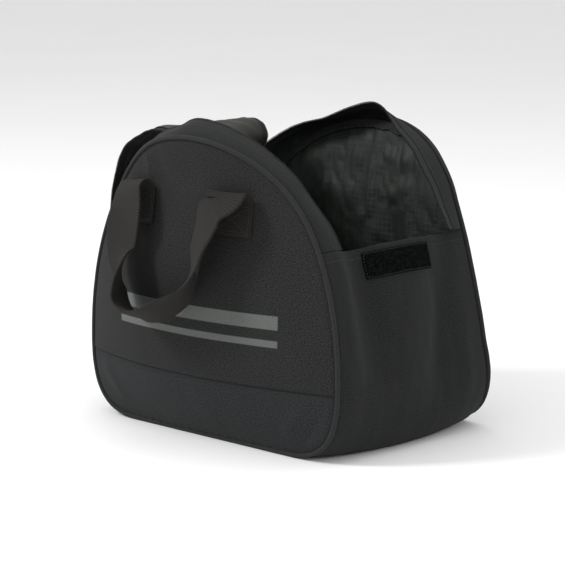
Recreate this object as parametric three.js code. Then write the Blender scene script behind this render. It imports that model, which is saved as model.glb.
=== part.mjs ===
// A soft helmet bag: two domed panels joined by a U-shaped gusset, piped seams, a zipped mouth over the top
// whose flap is folded back over the left shoulder, and a webbing handle on each panel.
// Millimetres, +Z up. The bag stands on z = 0 with the middle of its base at the origin.
// The front panel faces -Y and the right-hand gusset faces +X.

import * as THREE from 'three';

// Overall sizes
const BAG_WIDTH = 364; // over the piping at its widest
const BAG_HEIGHT = 317; // floor to the top of the front piping
const BAG_DEPTH = 242; // between the two piped seams at the floor

// Outline of both panels
const BASE_FLAT = 224; // straight stretch of the seam on the floor
const CORNER_HEIGHT = 80; // height at which the outline is widest
const CORNER_REACH = 50; // how far the floor line keeps its direction into the corner
const CORNER_RISE = 28; // height at which the side line takes over in the corner
const SHOULDER_RISE = 127; // how far the side line keeps its direction into the dome
const CROWN_REACH = 118; // how far the crown line keeps its direction into the dome

// Heights of the seams
const LOWER_SEAM_HEIGHT = 71; // cross seam of the front panel
const HEM_HEIGHT = 210; // hemmed top edges of the gusset

// Materials
const CLOTH = 2; // outer fabric walls
const LINING = 1;
const PIPING_RADIUS = 2.6;
const SEAM_GAP = 0.35; // clearance between sewn pieces
const FACE_GAP = 0.6; // clearance between pieces that lie on each other

// Leans and bulges of the panels
const FRONT_LEAN = 31; // forward lean of the front crown
const BACK_LEAN = 17; // backward lean of the rear crown
const WAIST_PINCH = 24; // how far the rear seam is drawn in at the waist
const FRONT_BULGE = 33;
const BACK_BULGE = 20;
const FRONT_SKEW = 0.22; // the front bulges more on its left
const CORNER_FILL = 13; // how far the gusset swells out at its lower corners

// Mouth strips and zips
const STRIP_WIDTH = 23;
const TAPE_WIDTH = 10;
const TAPE_THICKNESS = 1.2;
const COIL_WIDTH = 3;
const COIL_THICKNESS = 2.6;

// Flap
const FLAP_WIDTH = 144; // over both zip tapes
const FLAP_FRONT_INSET = 37; // from the foot of the front seam back to the flap's front edge
const FLAP_OUTREACH = 14.4; // how far the hanging end stands off the bag's widest line
const FLAP_CREST_HEIGHT = 308; // top of the roll
const FLAP_END_HEIGHT = 34; // lower edge of the hanging end
const FLAP_ROLL = 62; // how far the roll reaches right of the hem

// Hook and loop fastening
const PATCH_LENGTH = 91;
const PATCH_WIDTH = 27;
const PATCH_THICKNESS = 1.8;
const PATCH_DROP = 6; // below the hem
const PATCH_FRONT_INSET = 65; // from the foot of the front seam back to the loop patch
const HOOK_END_MARGIN = 12; // from the end of the flap

// Handles
const WEBBING_WIDTH = 50;
const WEBBING_THICKNESS = 1.8;
const HANDLE_SPREAD = 134; // between the middles of the two sewn ends
const HANDLE_SHIFT = -13; // of the front handle along X
const HANDLE_TOP = 264; // height of the folded tops
const TAB_LENGTH = 44;
const HANDLE_DROP = 134; // from the folded tops to the bottom of the loop
const TAB_GAP = 1.15; // between a sewn tab and its panel
const FOLD_STAND = 16; // how far a leg stands off the panel just below its fold

// Binding over the rear seam inside
const BINDING_WIDTH = 9;
const BINDING_THICKNESS = 1.6;

// Numbers of facets
const BASE_STEPS = 9;
const SIDE_STEPS = 7;
const DOME_STEPS = 12;
const PANEL_COLUMNS = 12;
const GUSSET_COLUMNS = 12;
const PIPING_SIDES = 6;
const FLAP_STEPS = 26;
const FLAP_COLUMNS = 4;
const HANDLE_STEPS = 44;
const PATCH_ROWS = 3;
const PATCH_COLUMNS = 10;
const BINDING_SKIP = 2; // dome steps above the hem that the binding leaves free
const SEARCH_STEPS = 40; // halvings when a height is looked up on the outline

// Profiles of the gusset: how steeply it leaves its seams, and the powers of the sine that shape it
const PIN_STEEPNESS = 8;
const FLOOR_STEEPNESS = 12;
const FOLD_POWER = 0.5;
const FILL_POWER = 0.7;

const HALF_WIDTH = BAG_WIDTH / 2 - PIPING_RADIUS;
const TOP_HEIGHT = BAG_HEIGHT - PIPING_RADIUS;
const EDGE_INSET = PIPING_RADIUS + SEAM_GAP;
const FLAP_FRONT_Y = FLAP_FRONT_INSET - BAG_DEPTH / 2;
const PATCH_FRONT_Y = PATCH_FRONT_INSET - BAG_DEPTH / 2;

// Leans of the seams by height: h is the share of the bag's height, front and back the shares of their leans,
// waist the share of the rear pinch.
const LEANS = [
  { h: 0, front: 0, back: 0, waist: 0 },
  { h: 0.12, front: 0, back: 0, waist: 0.17 },
  { h: 0.18, front: 0, back: 0, waist: 0.27 },
  { h: 0.24, front: 0, back: 0, waist: 0.44 },
  { h: 0.3, front: 0, back: 0, waist: 0.66 },
  { h: 0.37, front: 0, back: 0, waist: 0.81 },
  { h: 0.45, front: 0, back: 0, waist: 0.94 },
  { h: 0.55, front: 0, back: 0, waist: 1 },
  { h: 0.66, front: 0, back: 0, waist: 0.9 },
  { h: 0.74, front: 0.03, back: 0, waist: 0.71 },
  { h: 0.8, front: 0.1, back: 0, waist: 0.42 },
  { h: 0.86, front: 0.24, back: 0, waist: 0.14 },
  { h: 0.91, front: 0.45, back: 0.25, waist: 0 },
  { h: 0.96, front: 0.75, back: 0.65, waist: 0 },
  { h: 1, front: 1, back: 1, waist: 0 },
];

// Bulges of the panels by height, as shares of the largest bulge.
const BULGES = [
  { h: 0.0, front: 0.0, back: 0.0 },
  { h: 0.06, front: 0.3, back: 0.35 },
  { h: 0.14, front: 0.66, back: 0.7 },
  { h: 0.24, front: 0.88, back: 0.9 },
  { h: 0.38, front: 1.0, back: 1.0 },
  { h: 0.52, front: 0.98, back: 0.95 },
  { h: 0.66, front: 0.82, back: 0.75 },
  { h: 0.8, front: 0.55, back: 0.45 },
  { h: 0.9, front: 0.26, back: 0.2 },
  { h: 1.0, front: 0.0, back: 0.0 },
];

// Soft folds of the gusset: side is +1 right or -1 left, low and high are the heights (shares of the hem's
// height) between which the fold runs, at the places across the depth (shares) atLow and atHigh, with its
// half width (share of the depth) and how far it stands out (mm, negative for a dent).
const FOLDS = [
  { side: 1, low: 0.1, high: 1.0, atLow: 0.09, atHigh: 0.1, width: 0.06, out: 3.5 },
  { side: 1, low: 0.35, high: 1.25, atLow: 0.26, atHigh: 0.23, width: 0.1, out: -11 },
  { side: 1, low: 0.2, high: 0.95, atLow: 0.46, atHigh: 0.55, width: 0.13, out: 5 },
  { side: 1, low: 0.15, high: 1.05, atLow: 0.62, atHigh: 0.84, width: 0.08, out: -6.5 },
  { side: 1, low: 0.1, high: 0.7, atLow: 0.8, atHigh: 0.93, width: 0.09, out: 4 },
  { side: -1, low: 0.15, high: 0.9, atLow: 0.2, atHigh: 0.14, width: 0.08, out: 4 },
  { side: -1, low: 0.2, high: 1.0, atLow: 0.4, atHigh: 0.3, width: 0.1, out: -7 },
  { side: -1, low: 0.1, high: 0.95, atLow: 0.6, atHigh: 0.62, width: 0.14, out: 4.5 },
  { side: -1, low: 0.3, high: 1.1, atLow: 0.86, atHigh: 0.78, width: 0.08, out: -5 },
];

// How the mouth strips stand: along runs from the right hem (0) over the crown (0.5) to the left hem (1);
// front and rear are the angles in degrees by which the strips rise out of the dome's surface.
const STRIP_TILTS = [
  { along: 0, front: -4, rear: 17 },
  { along: 0.06, front: -8, rear: 11 },
  { along: 0.15, front: -13, rear: 3 },
  { along: 0.24, front: -4, rear: 0 },
  { along: 0.34, front: 7, rear: 9 },
  { along: 0.42, front: 16, rear: 31 },
  { along: 0.46, front: 22, rear: 35 },
  { along: 0.54, front: 28, rear: 17 },
  { along: 0.62, front: 20, rear: 5 },
  { along: 0.72, front: 27, rear: 13 },
  { along: 0.82, front: 26, rear: 19 },
  { along: 0.92, front: 12, rear: 14 },
  { along: 1, front: 0, rear: 4 },
];

// Section of the flap from its hinge at the left hem over the roll and down outside: right is the share of
// the roll's reach (negative for the outreach), up the share of the rise from the hem to the crest, and
// down the share of the fall from the hem to the hanging end.
const FLAP_SECTION = [
  { right: 0.0, up: 0.0, down: 0 },
  { right: 0.2, up: 0.25, down: 0 },
  { right: 0.52, up: 0.5, down: 0 },
  { right: 0.88, up: 0.7, down: 0 },
  { right: 1.0, up: 0.84, down: 0 },
  { right: 0.86, up: 0.97, down: 0 },
  { right: 0.56, up: 1.0, down: 0 },
  { right: 0.2, up: 0.93, down: 0 },
  { right: -0.35, up: 0.77, down: 0 },
  { right: -0.72, up: 0.46, down: 0 },
  { right: -0.95, up: 0.1, down: 0 },
  { right: -1.0, up: 0, down: 0.3 },
  { right: -0.98, up: 0, down: 0.65 },
  { right: -0.92, up: 0, down: 1 },
];

// Run of a hanging handle between its two folds: across is the share of the spread from the middle, out the
// share of the webbing's width by which its middle stands off the panel, drop the share of the drop, turn
// the heading of its width in degrees and rise the height gained by its near edge (share of the width).
const HANDLE_RUN = [
  { across: -0.49, out: 0.4, drop: 0.22, turn: -8, rise: 0.06 },
  { across: -0.53, out: 0.37, drop: 0.4, turn: -4, rise: 0 },
  { across: -0.53, out: 0.35, drop: 0.55, turn: -12, rise: 0 },
  { across: -0.48, out: 0.43, drop: 0.67, turn: -40, rise: 0 },
  { across: -0.45, out: 0.5, drop: 0.8, turn: -58, rise: 0.06 },
  { across: -0.44, out: 0.5, drop: 0.88, turn: -62, rise: 0.16 },
  { across: -0.373, out: 0.49, drop: 0.953, turn: -58, rise: 0.19 },
  { across: -0.248, out: 0.49, drop: 0.991, turn: -54, rise: 0.29 },
  { across: -0.103, out: 0.48, drop: 0.971, turn: -55, rise: 0.45 },
  { across: 0.02, out: 0.49, drop: 0.917, turn: -58, rise: 0.52 },
  { across: 0.142, out: 0.48, drop: 0.841, turn: -59, rise: 0.54 },
  { across: 0.225, out: 0.46, drop: 0.772, turn: -57, rise: 0.48 },
  { across: 0.275, out: 0.44, drop: 0.703, turn: -51, rise: 0.36 },
  { across: 0.309, out: 0.43, drop: 0.627, turn: -45, rise: 0.22 },
  { across: 0.32, out: 0.42, drop: 0.545, turn: -38, rise: 0.12 },
  { across: 0.33, out: 0.43, drop: 0.465, turn: -33, rise: 0.04 },
  { across: 0.353, out: 0.44, drop: 0.373, turn: -30, rise: 0 },
  { across: 0.4, out: 0.46, drop: 0.26, turn: -24, rise: 0 },
  { across: 0.45, out: 0.46, drop: 0.13, turn: -14, rise: 0 },
];

const finishes = {
  cloth: { color: 0x363736, roughness: 0.92 },
  gusset: { color: 0x2c2e2e, roughness: 0.92 },
  lining: { color: 0x282d29, roughness: 0.7 },
  flapLining: { color: 0x3c3c38, roughness: 0.75 },
  piping: { color: 0x3a3b3a, roughness: 0.85 },
  tape: { color: 0x262b28, roughness: 0.8 },
  webbing: { color: 0x3e3c38, roughness: 0.88 },
  patch: { color: 0x151818, roughness: 1.0 },
};

// Reads a column of a table at a place, on a smooth curve through its rows.
function readTable(rows, key, column, place) {
  const last = rows.length - 1;
  const at = THREE.MathUtils.clamp(place, rows[0][key], rows[last][key]);
  let i = 0;
  while (i < last - 1 && at > rows[i + 1][key]) i += 1;
  const slope = (k) => {
    const a = Math.max(k - 1, 0);
    const b = Math.min(k + 1, last);
    return (rows[b][column] - rows[a][column]) / (rows[b][key] - rows[a][key]);
  };
  const span = rows[i + 1][key] - rows[i][key];
  const t = (at - rows[i][key]) / span;
  const h1 = 2 * t ** 3 - 3 * t ** 2 + 1;
  const h2 = t ** 3 - 2 * t ** 2 + t;
  const h3 = 3 * t ** 2 - 2 * t ** 3;
  const h4 = t ** 3 - t ** 2;
  return h1 * rows[i][column] + h2 * span * slope(i) + h3 * rows[i + 1][column] + h4 * span * slope(i + 1);
}

// The right half of the seam's outline in the XZ plane, from the middle of the floor to the crown.
function halfOutline() {
  const flatEnd = new THREE.Vector2(BASE_FLAT / 2, PIPING_RADIUS);
  const widest = new THREE.Vector2(HALF_WIDTH, CORNER_HEIGHT);
  const path = new THREE.CurvePath();
  path.add(new THREE.LineCurve(new THREE.Vector2(0, PIPING_RADIUS), flatEnd));
  path.add(new THREE.CubicBezierCurve(
    flatEnd,
    new THREE.Vector2(flatEnd.x + CORNER_REACH, PIPING_RADIUS),
    new THREE.Vector2(HALF_WIDTH, CORNER_RISE),
    widest,
  ));
  path.add(new THREE.CubicBezierCurve(
    widest,
    new THREE.Vector2(HALF_WIDTH, CORNER_HEIGHT + SHOULDER_RISE),
    new THREE.Vector2(CROWN_REACH, TOP_HEIGHT),
    new THREE.Vector2(0, TOP_HEIGHT),
  ));
  return path;
}

// The place on the half outline (share of its length) that lies at a height.
function placeAtHeight(path, height) {
  let low = 0;
  let high = 1;
  for (let step = 0; step < SEARCH_STEPS; step += 1) {
    const middle = (low + high) / 2;
    if (path.getPointAt(middle).y < height) low = middle;
    else high = middle;
  }
  return (low + high) / 2;
}

// Stations along the half outline, each with its point and outward normal in the XZ plane.
function outlineStations() {
  const path = halfOutline();
  const flatEnd = BASE_FLAT / 2 / path.getLength();
  const keys = [flatEnd, placeAtHeight(path, LOWER_SEAM_HEIGHT), placeAtHeight(path, HEM_HEIGHT), 1];
  const runs = [BASE_STEPS, SIDE_STEPS, DOME_STEPS];
  const places = [];
  runs.forEach((steps, run) => {
    for (let k = 0; k < steps; k += 1) places.push(keys[run] + ((keys[run + 1] - keys[run]) * k) / steps);
  });
  places.push(1);
  const stations = places.map((place) => {
    const point = path.getPointAt(place);
    const tangent = path.getTangentAt(place);
    return { x: point.x, z: point.y, nx: tangent.y, nz: -tangent.x };
  });
  Object.assign(stations[0], { nx: 0, nz: -1 });
  Object.assign(stations[stations.length - 1], { x: 0, nx: 0, nz: 1 });
  return stations;
}

const stations = outlineStations();
const SEAM_STATION = BASE_STEPS;
const HEM_STATION = BASE_STEPS + SIDE_STEPS;
const CROWN_STATION = HEM_STATION + DOME_STEPS;

const mirrored = (station) => ({ ...station, x: -station.x, nx: -station.nx });

// Stations all the way round, from the right end of the floor stretch over the crown to the left one.
function roundStations(first, last) {
  const right = stations.slice(first, last + 1);
  const left = right.slice(0, -1).reverse().map(mirrored);
  return last === CROWN_STATION ? [...right, ...left] : right;
}

const shareOfHeight = (z) => z / BAG_HEIGHT;

function frontSeamY(z) {
  return -BAG_DEPTH / 2 - FRONT_LEAN * readTable(LEANS, 'h', 'front', shareOfHeight(z));
}

function backSeamY(z) {
  const h = shareOfHeight(z);
  return BAG_DEPTH / 2 + BACK_LEAN * readTable(LEANS, 'h', 'back', h)
    - WAIST_PINCH * readTable(LEANS, 'h', 'waist', h);
}

// Half the width of the seam's outline at a height.
function halfWidthAt(z) {
  for (let i = 1; i < stations.length; i += 1) {
    const a = stations[i - 1];
    const b = stations[i];
    if (z <= b.z && b.z > a.z) return a.x + ((b.x - a.x) * Math.max(z - a.z, 0)) / (b.z - a.z);
  }
  return 0;
}

// Middle surfaces of the two panels.
function frontPanelY(x, z) {
  const s = THREE.MathUtils.clamp(x / Math.max(halfWidthAt(z), 1), -1, 1);
  const bulge = FRONT_BULGE * readTable(BULGES, 'h', 'front', shareOfHeight(z));
  return frontSeamY(z) - bulge * (1 - s * s) * (1 - FRONT_SKEW * s);
}

function backPanelY(x, z) {
  const s = THREE.MathUtils.clamp(x / Math.max(halfWidthAt(z), 1), -1, 1);
  return backSeamY(z) + BACK_BULGE * readTable(BULGES, 'h', 'back', shareOfHeight(z)) * (1 - s * s);
}

// A closed solid between two grids of points of equal size, with rims round its border.
function slabGeometry(outer, inner) {
  const rows = outer.length;
  const columns = outer[0].length;
  const vertices = [];
  const keys = new Map();
  const vertexOf = (point) => {
    const key = point.toArray().map((value) => Math.round(value * 1e4)).join();
    if (!keys.has(key)) {
      keys.set(key, keys.size);
      vertices.push(...point.toArray());
    }
    return keys.get(key);
  };
  const indices = [];
  const addTriangle = (a, b, c) => {
    if (a !== b && b !== c && c !== a) indices.push(a, b, c);
  };
  const addQuad = (a, b, c, d) => {
    const [va, vb, vc, vd] = [a, b, c, d].map(vertexOf);
    addTriangle(va, vb, vc);
    addTriangle(va, vc, vd);
  };
  for (let i = 0; i < rows - 1; i += 1) {
    for (let j = 0; j < columns - 1; j += 1) {
      addQuad(outer[i][j], outer[i][j + 1], outer[i + 1][j + 1], outer[i + 1][j]);
      addQuad(inner[i][j], inner[i + 1][j], inner[i + 1][j + 1], inner[i][j + 1]);
    }
  }
  for (let i = 0; i < rows - 1; i += 1) {
    const end = columns - 1;
    addQuad(outer[i][0], outer[i + 1][0], inner[i + 1][0], inner[i][0]);
    addQuad(outer[i + 1][end], outer[i][end], inner[i][end], inner[i + 1][end]);
  }
  for (let j = 0; j < columns - 1; j += 1) {
    const end = rows - 1;
    addQuad(outer[0][j + 1], outer[0][j], inner[0][j], inner[0][j + 1]);
    addQuad(outer[end][j], outer[end][j + 1], inner[end][j + 1], inner[end][j]);
  }
  return outwardGeometry(vertices, indices);
}

// A mesh whose faces are turned outwards if its volume comes out negative.
function outwardGeometry(vertices, indices) {
  const corner = (k) => new THREE.Vector3().fromArray(vertices, 3 * indices[k]);
  let volume = 0;
  for (let k = 0; k < indices.length; k += 3) {
    volume += corner(k).dot(corner(k + 1).cross(corner(k + 2)));
  }
  if (volume < 0) {
    for (let k = 0; k < indices.length; k += 3) [indices[k], indices[k + 1]] = [indices[k + 1], indices[k]];
  }
  const geometry = new THREE.BufferGeometry();
  geometry.setAttribute('position', new THREE.Float32BufferAttribute(vertices, 3));
  geometry.setIndex(indices);
  geometry.computeVertexNormals();
  return geometry;
}

// A closed ring swept round a loop of sections, each a list of points.
function ringGeometry(sections) {
  const sides = sections[0].length;
  const vertices = sections.flatMap((section) => section.flatMap((point) => point.toArray()));
  const indices = [];
  sections.forEach((section, i) => {
    const next = (i + 1) % sections.length;
    for (let j = 0; j < sides; j += 1) {
      const k = (j + 1) % sides;
      indices.push(i * sides + j, next * sides + j, next * sides + k);
      indices.push(i * sides + j, next * sides + k, i * sides + k);
    }
  });
  return outwardGeometry(vertices, indices);
}

function addPiece(group, name, geometry, finish) {
  const mesh = new THREE.Mesh(geometry, new THREE.MeshStandardMaterial({ ...finish, metalness: 0 }));
  mesh.name = name;
  group.add(mesh);
}

// Grid of a panel between two stations of the outline: rows of points, each row the same height.
function panelGrid(first, last, surfaceY, offset, trimFirst = 0, trimLast = 0) {
  const rows = [];
  for (let k = first; k <= last; k += 1) {
    const station = stations[k];
    const reach = Math.max(station.x - station.nx * EDGE_INSET, 0);
    const trim = (k === first ? trimFirst : 0) - (k === last ? trimLast : 0);
    const z = station.z - station.nz * EDGE_INSET + trim;
    const row = [];
    for (let j = 0; j <= PANEL_COLUMNS; j += 1) {
      const x = reach * ((2 * j) / PANEL_COLUMNS - 1);
      row.push(new THREE.Vector3(x, surfaceY(x, z) + offset, z));
    }
    rows.push(row);
  }
  return rows;
}

function addPanels(group) {
  const half = CLOTH / 2;
  const front = (first, last, trimFirst, trimLast) => slabGeometry(
    panelGrid(first, last, frontPanelY, -half, trimFirst, trimLast),
    panelGrid(first, last, frontPanelY, half, trimFirst, trimLast),
  );
  addPiece(group, 'front_panel', front(SEAM_STATION, CROWN_STATION, SEAM_GAP / 2, 0), finishes.cloth);
  addPiece(group, 'front_lower_panel', front(0, SEAM_STATION, 0, SEAM_GAP / 2), finishes.cloth);
  const back = slabGeometry(
    panelGrid(0, CROWN_STATION, backPanelY, half),
    panelGrid(0, CROWN_STATION, backPanelY, -half),
  );
  addPiece(group, 'back_panel', back, finishes.cloth);
  const linedFace = -half - FACE_GAP;
  const lining = slabGeometry(
    panelGrid(0, CROWN_STATION, backPanelY, linedFace),
    panelGrid(0, CROWN_STATION, backPanelY, linedFace - LINING),
  );
  addPiece(group, 'back_lining', lining, finishes.lining);
}

// The piping follows the outline, its round section spanned by the outline's normal and the depth.
function addPiping(group, name, seamY) {
  const loop = roundStations(0, CROWN_STATION);
  const sections = loop.map((station) => {
    const section = [];
    for (let k = 0; k < PIPING_SIDES; k += 1) {
      const angle = (2 * Math.PI * (k + 0.5)) / PIPING_SIDES;
      const along = PIPING_RADIUS * Math.sin(angle);
      const out = PIPING_RADIUS * Math.cos(angle);
      section.push(new THREE.Vector3(
        station.x + station.nx * out,
        seamY(station.z) + along,
        station.z + station.nz * out,
      ));
    }
    return section;
  });
  addPiece(group, name, ringGeometry(sections), finishes.piping);
}

// How far the gusset stands out of the outline at a station, a share v across its depth. nx times down is half
// the sine of twice the corner's angle, so the fill is largest where the corner faces down at 45 degrees.
function gussetSwell(station, v) {
  const side = Math.sign(station.x);
  const height = station.z / HEM_HEIGHT;
  const pinned = Math.min(1, PIN_STEEPNESS * v * (1 - v));
  let swell = 0;
  FOLDS.filter((fold) => fold.side === side).forEach((fold) => {
    const t = (height - fold.low) / (fold.high - fold.low);
    if (t <= 0 || t >= 1) return;
    const place = fold.atLow + (fold.atHigh - fold.atLow) * t;
    const across = (v - place) / fold.width;
    swell += fold.out * Math.sin(Math.PI * t) ** FOLD_POWER * Math.exp(-across * across);
  });
  const down = Math.max(0, -station.nz);
  const base = (PIPING_RADIUS - CLOTH / 2) * down * Math.min(1, FLOOR_STEEPNESS * v, FLOOR_STEEPNESS * (1 - v));
  const fill = CORNER_FILL * 2 * Math.abs(station.nx) * down * Math.sin(Math.PI * v) ** FILL_POWER;
  const out = swell * pinned * (1 - down) + base + fill;
  return down > 0 ? Math.min(out, station.z / down - CLOTH / 2) : out;
}

// Stations of the gusset, from the right hem down round the floor and up to the left hem.
function gussetStations() {
  const right = stations.slice(0, HEM_STATION + 1).reverse();
  return [...right, ...right.slice().reverse().map(mirrored)];
}

function gussetGrid(offset) {
  return gussetStations().map((station) => {
    const front = frontSeamY(station.z) + EDGE_INSET;
    const back = backSeamY(station.z) - EDGE_INSET;
    const row = [];
    for (let j = 0; j <= GUSSET_COLUMNS; j += 1) {
      const v = j / GUSSET_COLUMNS;
      const out = gussetSwell(station, v) + offset;
      row.push(new THREE.Vector3(
        station.x + station.nx * out,
        front + (back - front) * v,
        station.z + station.nz * out,
      ));
    }
    return row;
  });
}

function addGusset(group) {
  const geometry = slabGeometry(gussetGrid(CLOTH / 2), gussetGrid(-CLOTH / 2));
  addPiece(group, 'gusset', geometry, finishes.gusset);
}

// A point at an offset from the right-hand gusset's outer face, by its height and depth.
function gussetFace(z, y, offset) {
  const rows = gussetGrid(CLOTH / 2 + offset).slice(0, SIDE_STEPS + 1);
  let i = 0;
  while (i < rows.length - 2 && rows[i + 1][0].z > z) i += 1;
  const along = (z - rows[i][0].z) / (rows[i + 1][0].z - rows[i][0].z);
  const atRow = (row) => {
    let j = 0;
    while (j < row.length - 2 && row[j + 1].y < y) j += 1;
    return row[j].clone().lerp(row[j + 1], (y - row[j].y) / (row[j + 1].y - row[j].y));
  };
  return atRow(rows[i]).lerp(atRow(rows[i + 1]), along);
}

function addLoopPatch(group) {
  const top = HEM_HEIGHT - PATCH_DROP;
  const grid = (offset) => {
    const points = [];
    for (let i = 0; i <= PATCH_ROWS; i += 1) {
      const z = top - (PATCH_WIDTH * i) / PATCH_ROWS;
      const row = [];
      for (let j = 0; j <= PATCH_COLUMNS; j += 1) {
        row.push(gussetFace(z, PATCH_FRONT_Y + (PATCH_LENGTH * j) / PATCH_COLUMNS, offset));
      }
      points.push(row);
    }
    return points;
  };
  addPiece(group, 'loop_patch', slabGeometry(grid(FACE_GAP + PATCH_THICKNESS), grid(FACE_GAP)), finishes.patch);
}

// Grid of a band that runs along the mouth from hem to hem. stops lists the distances from the piping across
// the band, each with its thickness. inward is +1 behind the front seam and -1 before the rear one.
function mouthGrid(seamY, inward, column, stops, face) {
  const run = roundStations(HEM_STATION, CROWN_STATION);
  return run.map((station, k) => {
    const tilt = THREE.MathUtils.degToRad(readTable(STRIP_TILTS, 'along', column, k / (run.length - 1)));
    const root = EDGE_INSET + CLOTH * Math.max(0, -Math.sin(tilt));
    const lift = k === 0 || k === run.length - 1 ? SEAM_GAP : 0;
    return stops.map((stop) => {
      const level = (face * stop.thick) / 2;
      const depth = root + stop.at * Math.cos(tilt) - level * Math.sin(tilt);
      const out = stop.at * Math.sin(tilt) + level * Math.cos(tilt);
      return new THREE.Vector3(
        station.x + station.nx * out,
        seamY(station.z) + inward * depth,
        station.z + station.nz * out + lift,
      );
    });
  });
}

function addMouth(group) {
  const cloth = [0, 0.5, 1].map((share) => ({ at: STRIP_WIDTH * share, thick: CLOTH }));
  const start = STRIP_WIDTH + SEAM_GAP;
  const tape = [
    { at: start, thick: TAPE_THICKNESS },
    { at: start + TAPE_WIDTH - COIL_WIDTH, thick: TAPE_THICKNESS },
    { at: start + TAPE_WIDTH, thick: COIL_THICKNESS },
  ];
  const sides = [
    { name: 'front', seamY: frontSeamY, inward: 1, column: 'front' },
    { name: 'rear', seamY: backSeamY, inward: -1, column: 'rear' },
  ];
  sides.forEach(({ name, seamY, inward, column }) => {
    const strip = (stops, face) => mouthGrid(seamY, inward, column, stops, face);
    addPiece(group, `${name}_top_strip`, slabGeometry(strip(cloth, 1), strip(cloth, -1)), finishes.cloth);
    addPiece(group, `${name}_zip_tape`, slabGeometry(strip(tape, 1), strip(tape, -1)), finishes.tape);
  });
}

// The binding covers the rear seam inside the dome, lying on the back lining.
function addBinding(group) {
  const run = roundStations(HEM_STATION + BINDING_SKIP, CROWN_STATION);
  const face = -CLOTH / 2 - FACE_GAP - LINING - FACE_GAP;
  const grid = (offset) => run.map((station) => [0, 1].map((share) => {
    const inset = EDGE_INSET + BINDING_WIDTH * share;
    const x = station.x - station.nx * inset;
    const z = station.z - station.nz * inset;
    return new THREE.Vector3(x, backPanelY(x, z) + face + offset, z);
  }));
  addPiece(group, 'back_seam_binding', slabGeometry(grid(0), grid(-BINDING_THICKNESS)), finishes.tape);
}

// Points of the flap's middle surface in the XZ plane, with the normals of its lining side.
function flapSection() {
  const hem = mirrored(stations[HEM_STATION]);
  const outreach = HALF_WIDTH + hem.x + FLAP_OUTREACH;
  const points = FLAP_SECTION.map(({ right, up, down }) => new THREE.Vector3(
    hem.x + (right > 0 ? right * FLAP_ROLL : right * outreach),
    0,
    hem.z + SEAM_GAP + up * (FLAP_CREST_HEIGHT - hem.z) - down * (hem.z - FLAP_END_HEIGHT),
  ));
  const curve = new THREE.CatmullRomCurve3(points, false, 'centripetal');
  const section = [];
  for (let k = 0; k <= FLAP_STEPS; k += 1) {
    const point = curve.getPointAt(k / FLAP_STEPS);
    const tangent = curve.getTangentAt(k / FLAP_STEPS);
    section.push({ x: point.x, z: point.z, nx: tangent.z, nz: -tangent.x });
  }
  return section;
}

function flapGrid(section, places, offsets) {
  return section.map((point) => places.map((y, j) => new THREE.Vector3(
    point.x + point.nx * offsets[j],
    y,
    point.z + point.nz * offsets[j],
  )));
}

function addFlap(group) {
  const section = flapSection();
  const clothStart = FLAP_FRONT_Y + TAPE_WIDTH;
  const clothWidth = FLAP_WIDTH - 2 * TAPE_WIDTH;
  const across = [];
  for (let j = 0; j <= FLAP_COLUMNS; j += 1) across.push(clothStart + (clothWidth * j) / FLAP_COLUMNS);
  const sheet = (low, high, places) => slabGeometry(
    flapGrid(section, places, places.map(() => high)),
    flapGrid(section, places, places.map(() => low)),
  );
  const liningLow = CLOTH / 2 + SEAM_GAP;
  addPiece(group, 'top_flap', sheet(-CLOTH / 2, CLOTH / 2, across), finishes.cloth);
  addPiece(group, 'flap_lining', sheet(liningLow, liningLow + LINING, across), finishes.flapLining);
  const tapeThick = [TAPE_THICKNESS, TAPE_THICKNESS, COIL_THICKNESS];
  const edges = [
    { name: 'flap_front_zip', seam: clothStart - SEAM_GAP, inward: -1 },
    { name: 'flap_rear_zip', seam: clothStart + clothWidth + SEAM_GAP, inward: 1 },
  ];
  edges.forEach(({ name, seam, inward }) => {
    const places = [0, TAPE_WIDTH - COIL_WIDTH, TAPE_WIDTH].map((distance) => seam + inward * distance);
    const outer = flapGrid(section, places, tapeThick.map((thick) => thick / 2));
    const inner = flapGrid(section, places, tapeThick.map((thick) => -thick / 2));
    addPiece(group, name, slabGeometry(outer, inner), finishes.tape);
  });
  addHookPatch(group, liningLow + LINING + FACE_GAP);
}

// The hook patch lies on the lining near the flap's end, where it would meet the loop patch.
function addHookPatch(group, low) {
  const hem = mirrored(stations[HEM_STATION]);
  const start = FLAP_FRONT_Y + (FLAP_WIDTH - PATCH_LENGTH) / 2;
  const section = flapSection().filter((point) => point.z < hem.z && point.x < hem.x);
  const bottom = FLAP_END_HEIGHT + HOOK_END_MARGIN;
  const pointAt = (z) => {
    let i = 0;
    while (i < section.length - 2 && section[i + 1].z > z) i += 1;
    const [a, b] = [section[i], section[i + 1]];
    const t = (z - a.z) / (b.z - a.z);
    return { x: a.x + (b.x - a.x) * t, z, nx: a.nx + (b.nx - a.nx) * t, nz: a.nz + (b.nz - a.nz) * t };
  };
  const run = [0, 0.5, 1].map((share) => pointAt(bottom + PATCH_WIDTH * (1 - share)));
  const places = [start, start + PATCH_LENGTH];
  const outer = flapGrid(run, places, places.map(() => low + PATCH_THICKNESS));
  const inner = flapGrid(run, places, places.map(() => low));
  addPiece(group, 'hook_patch', slabGeometry(outer, inner), finishes.patch);
}

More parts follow.
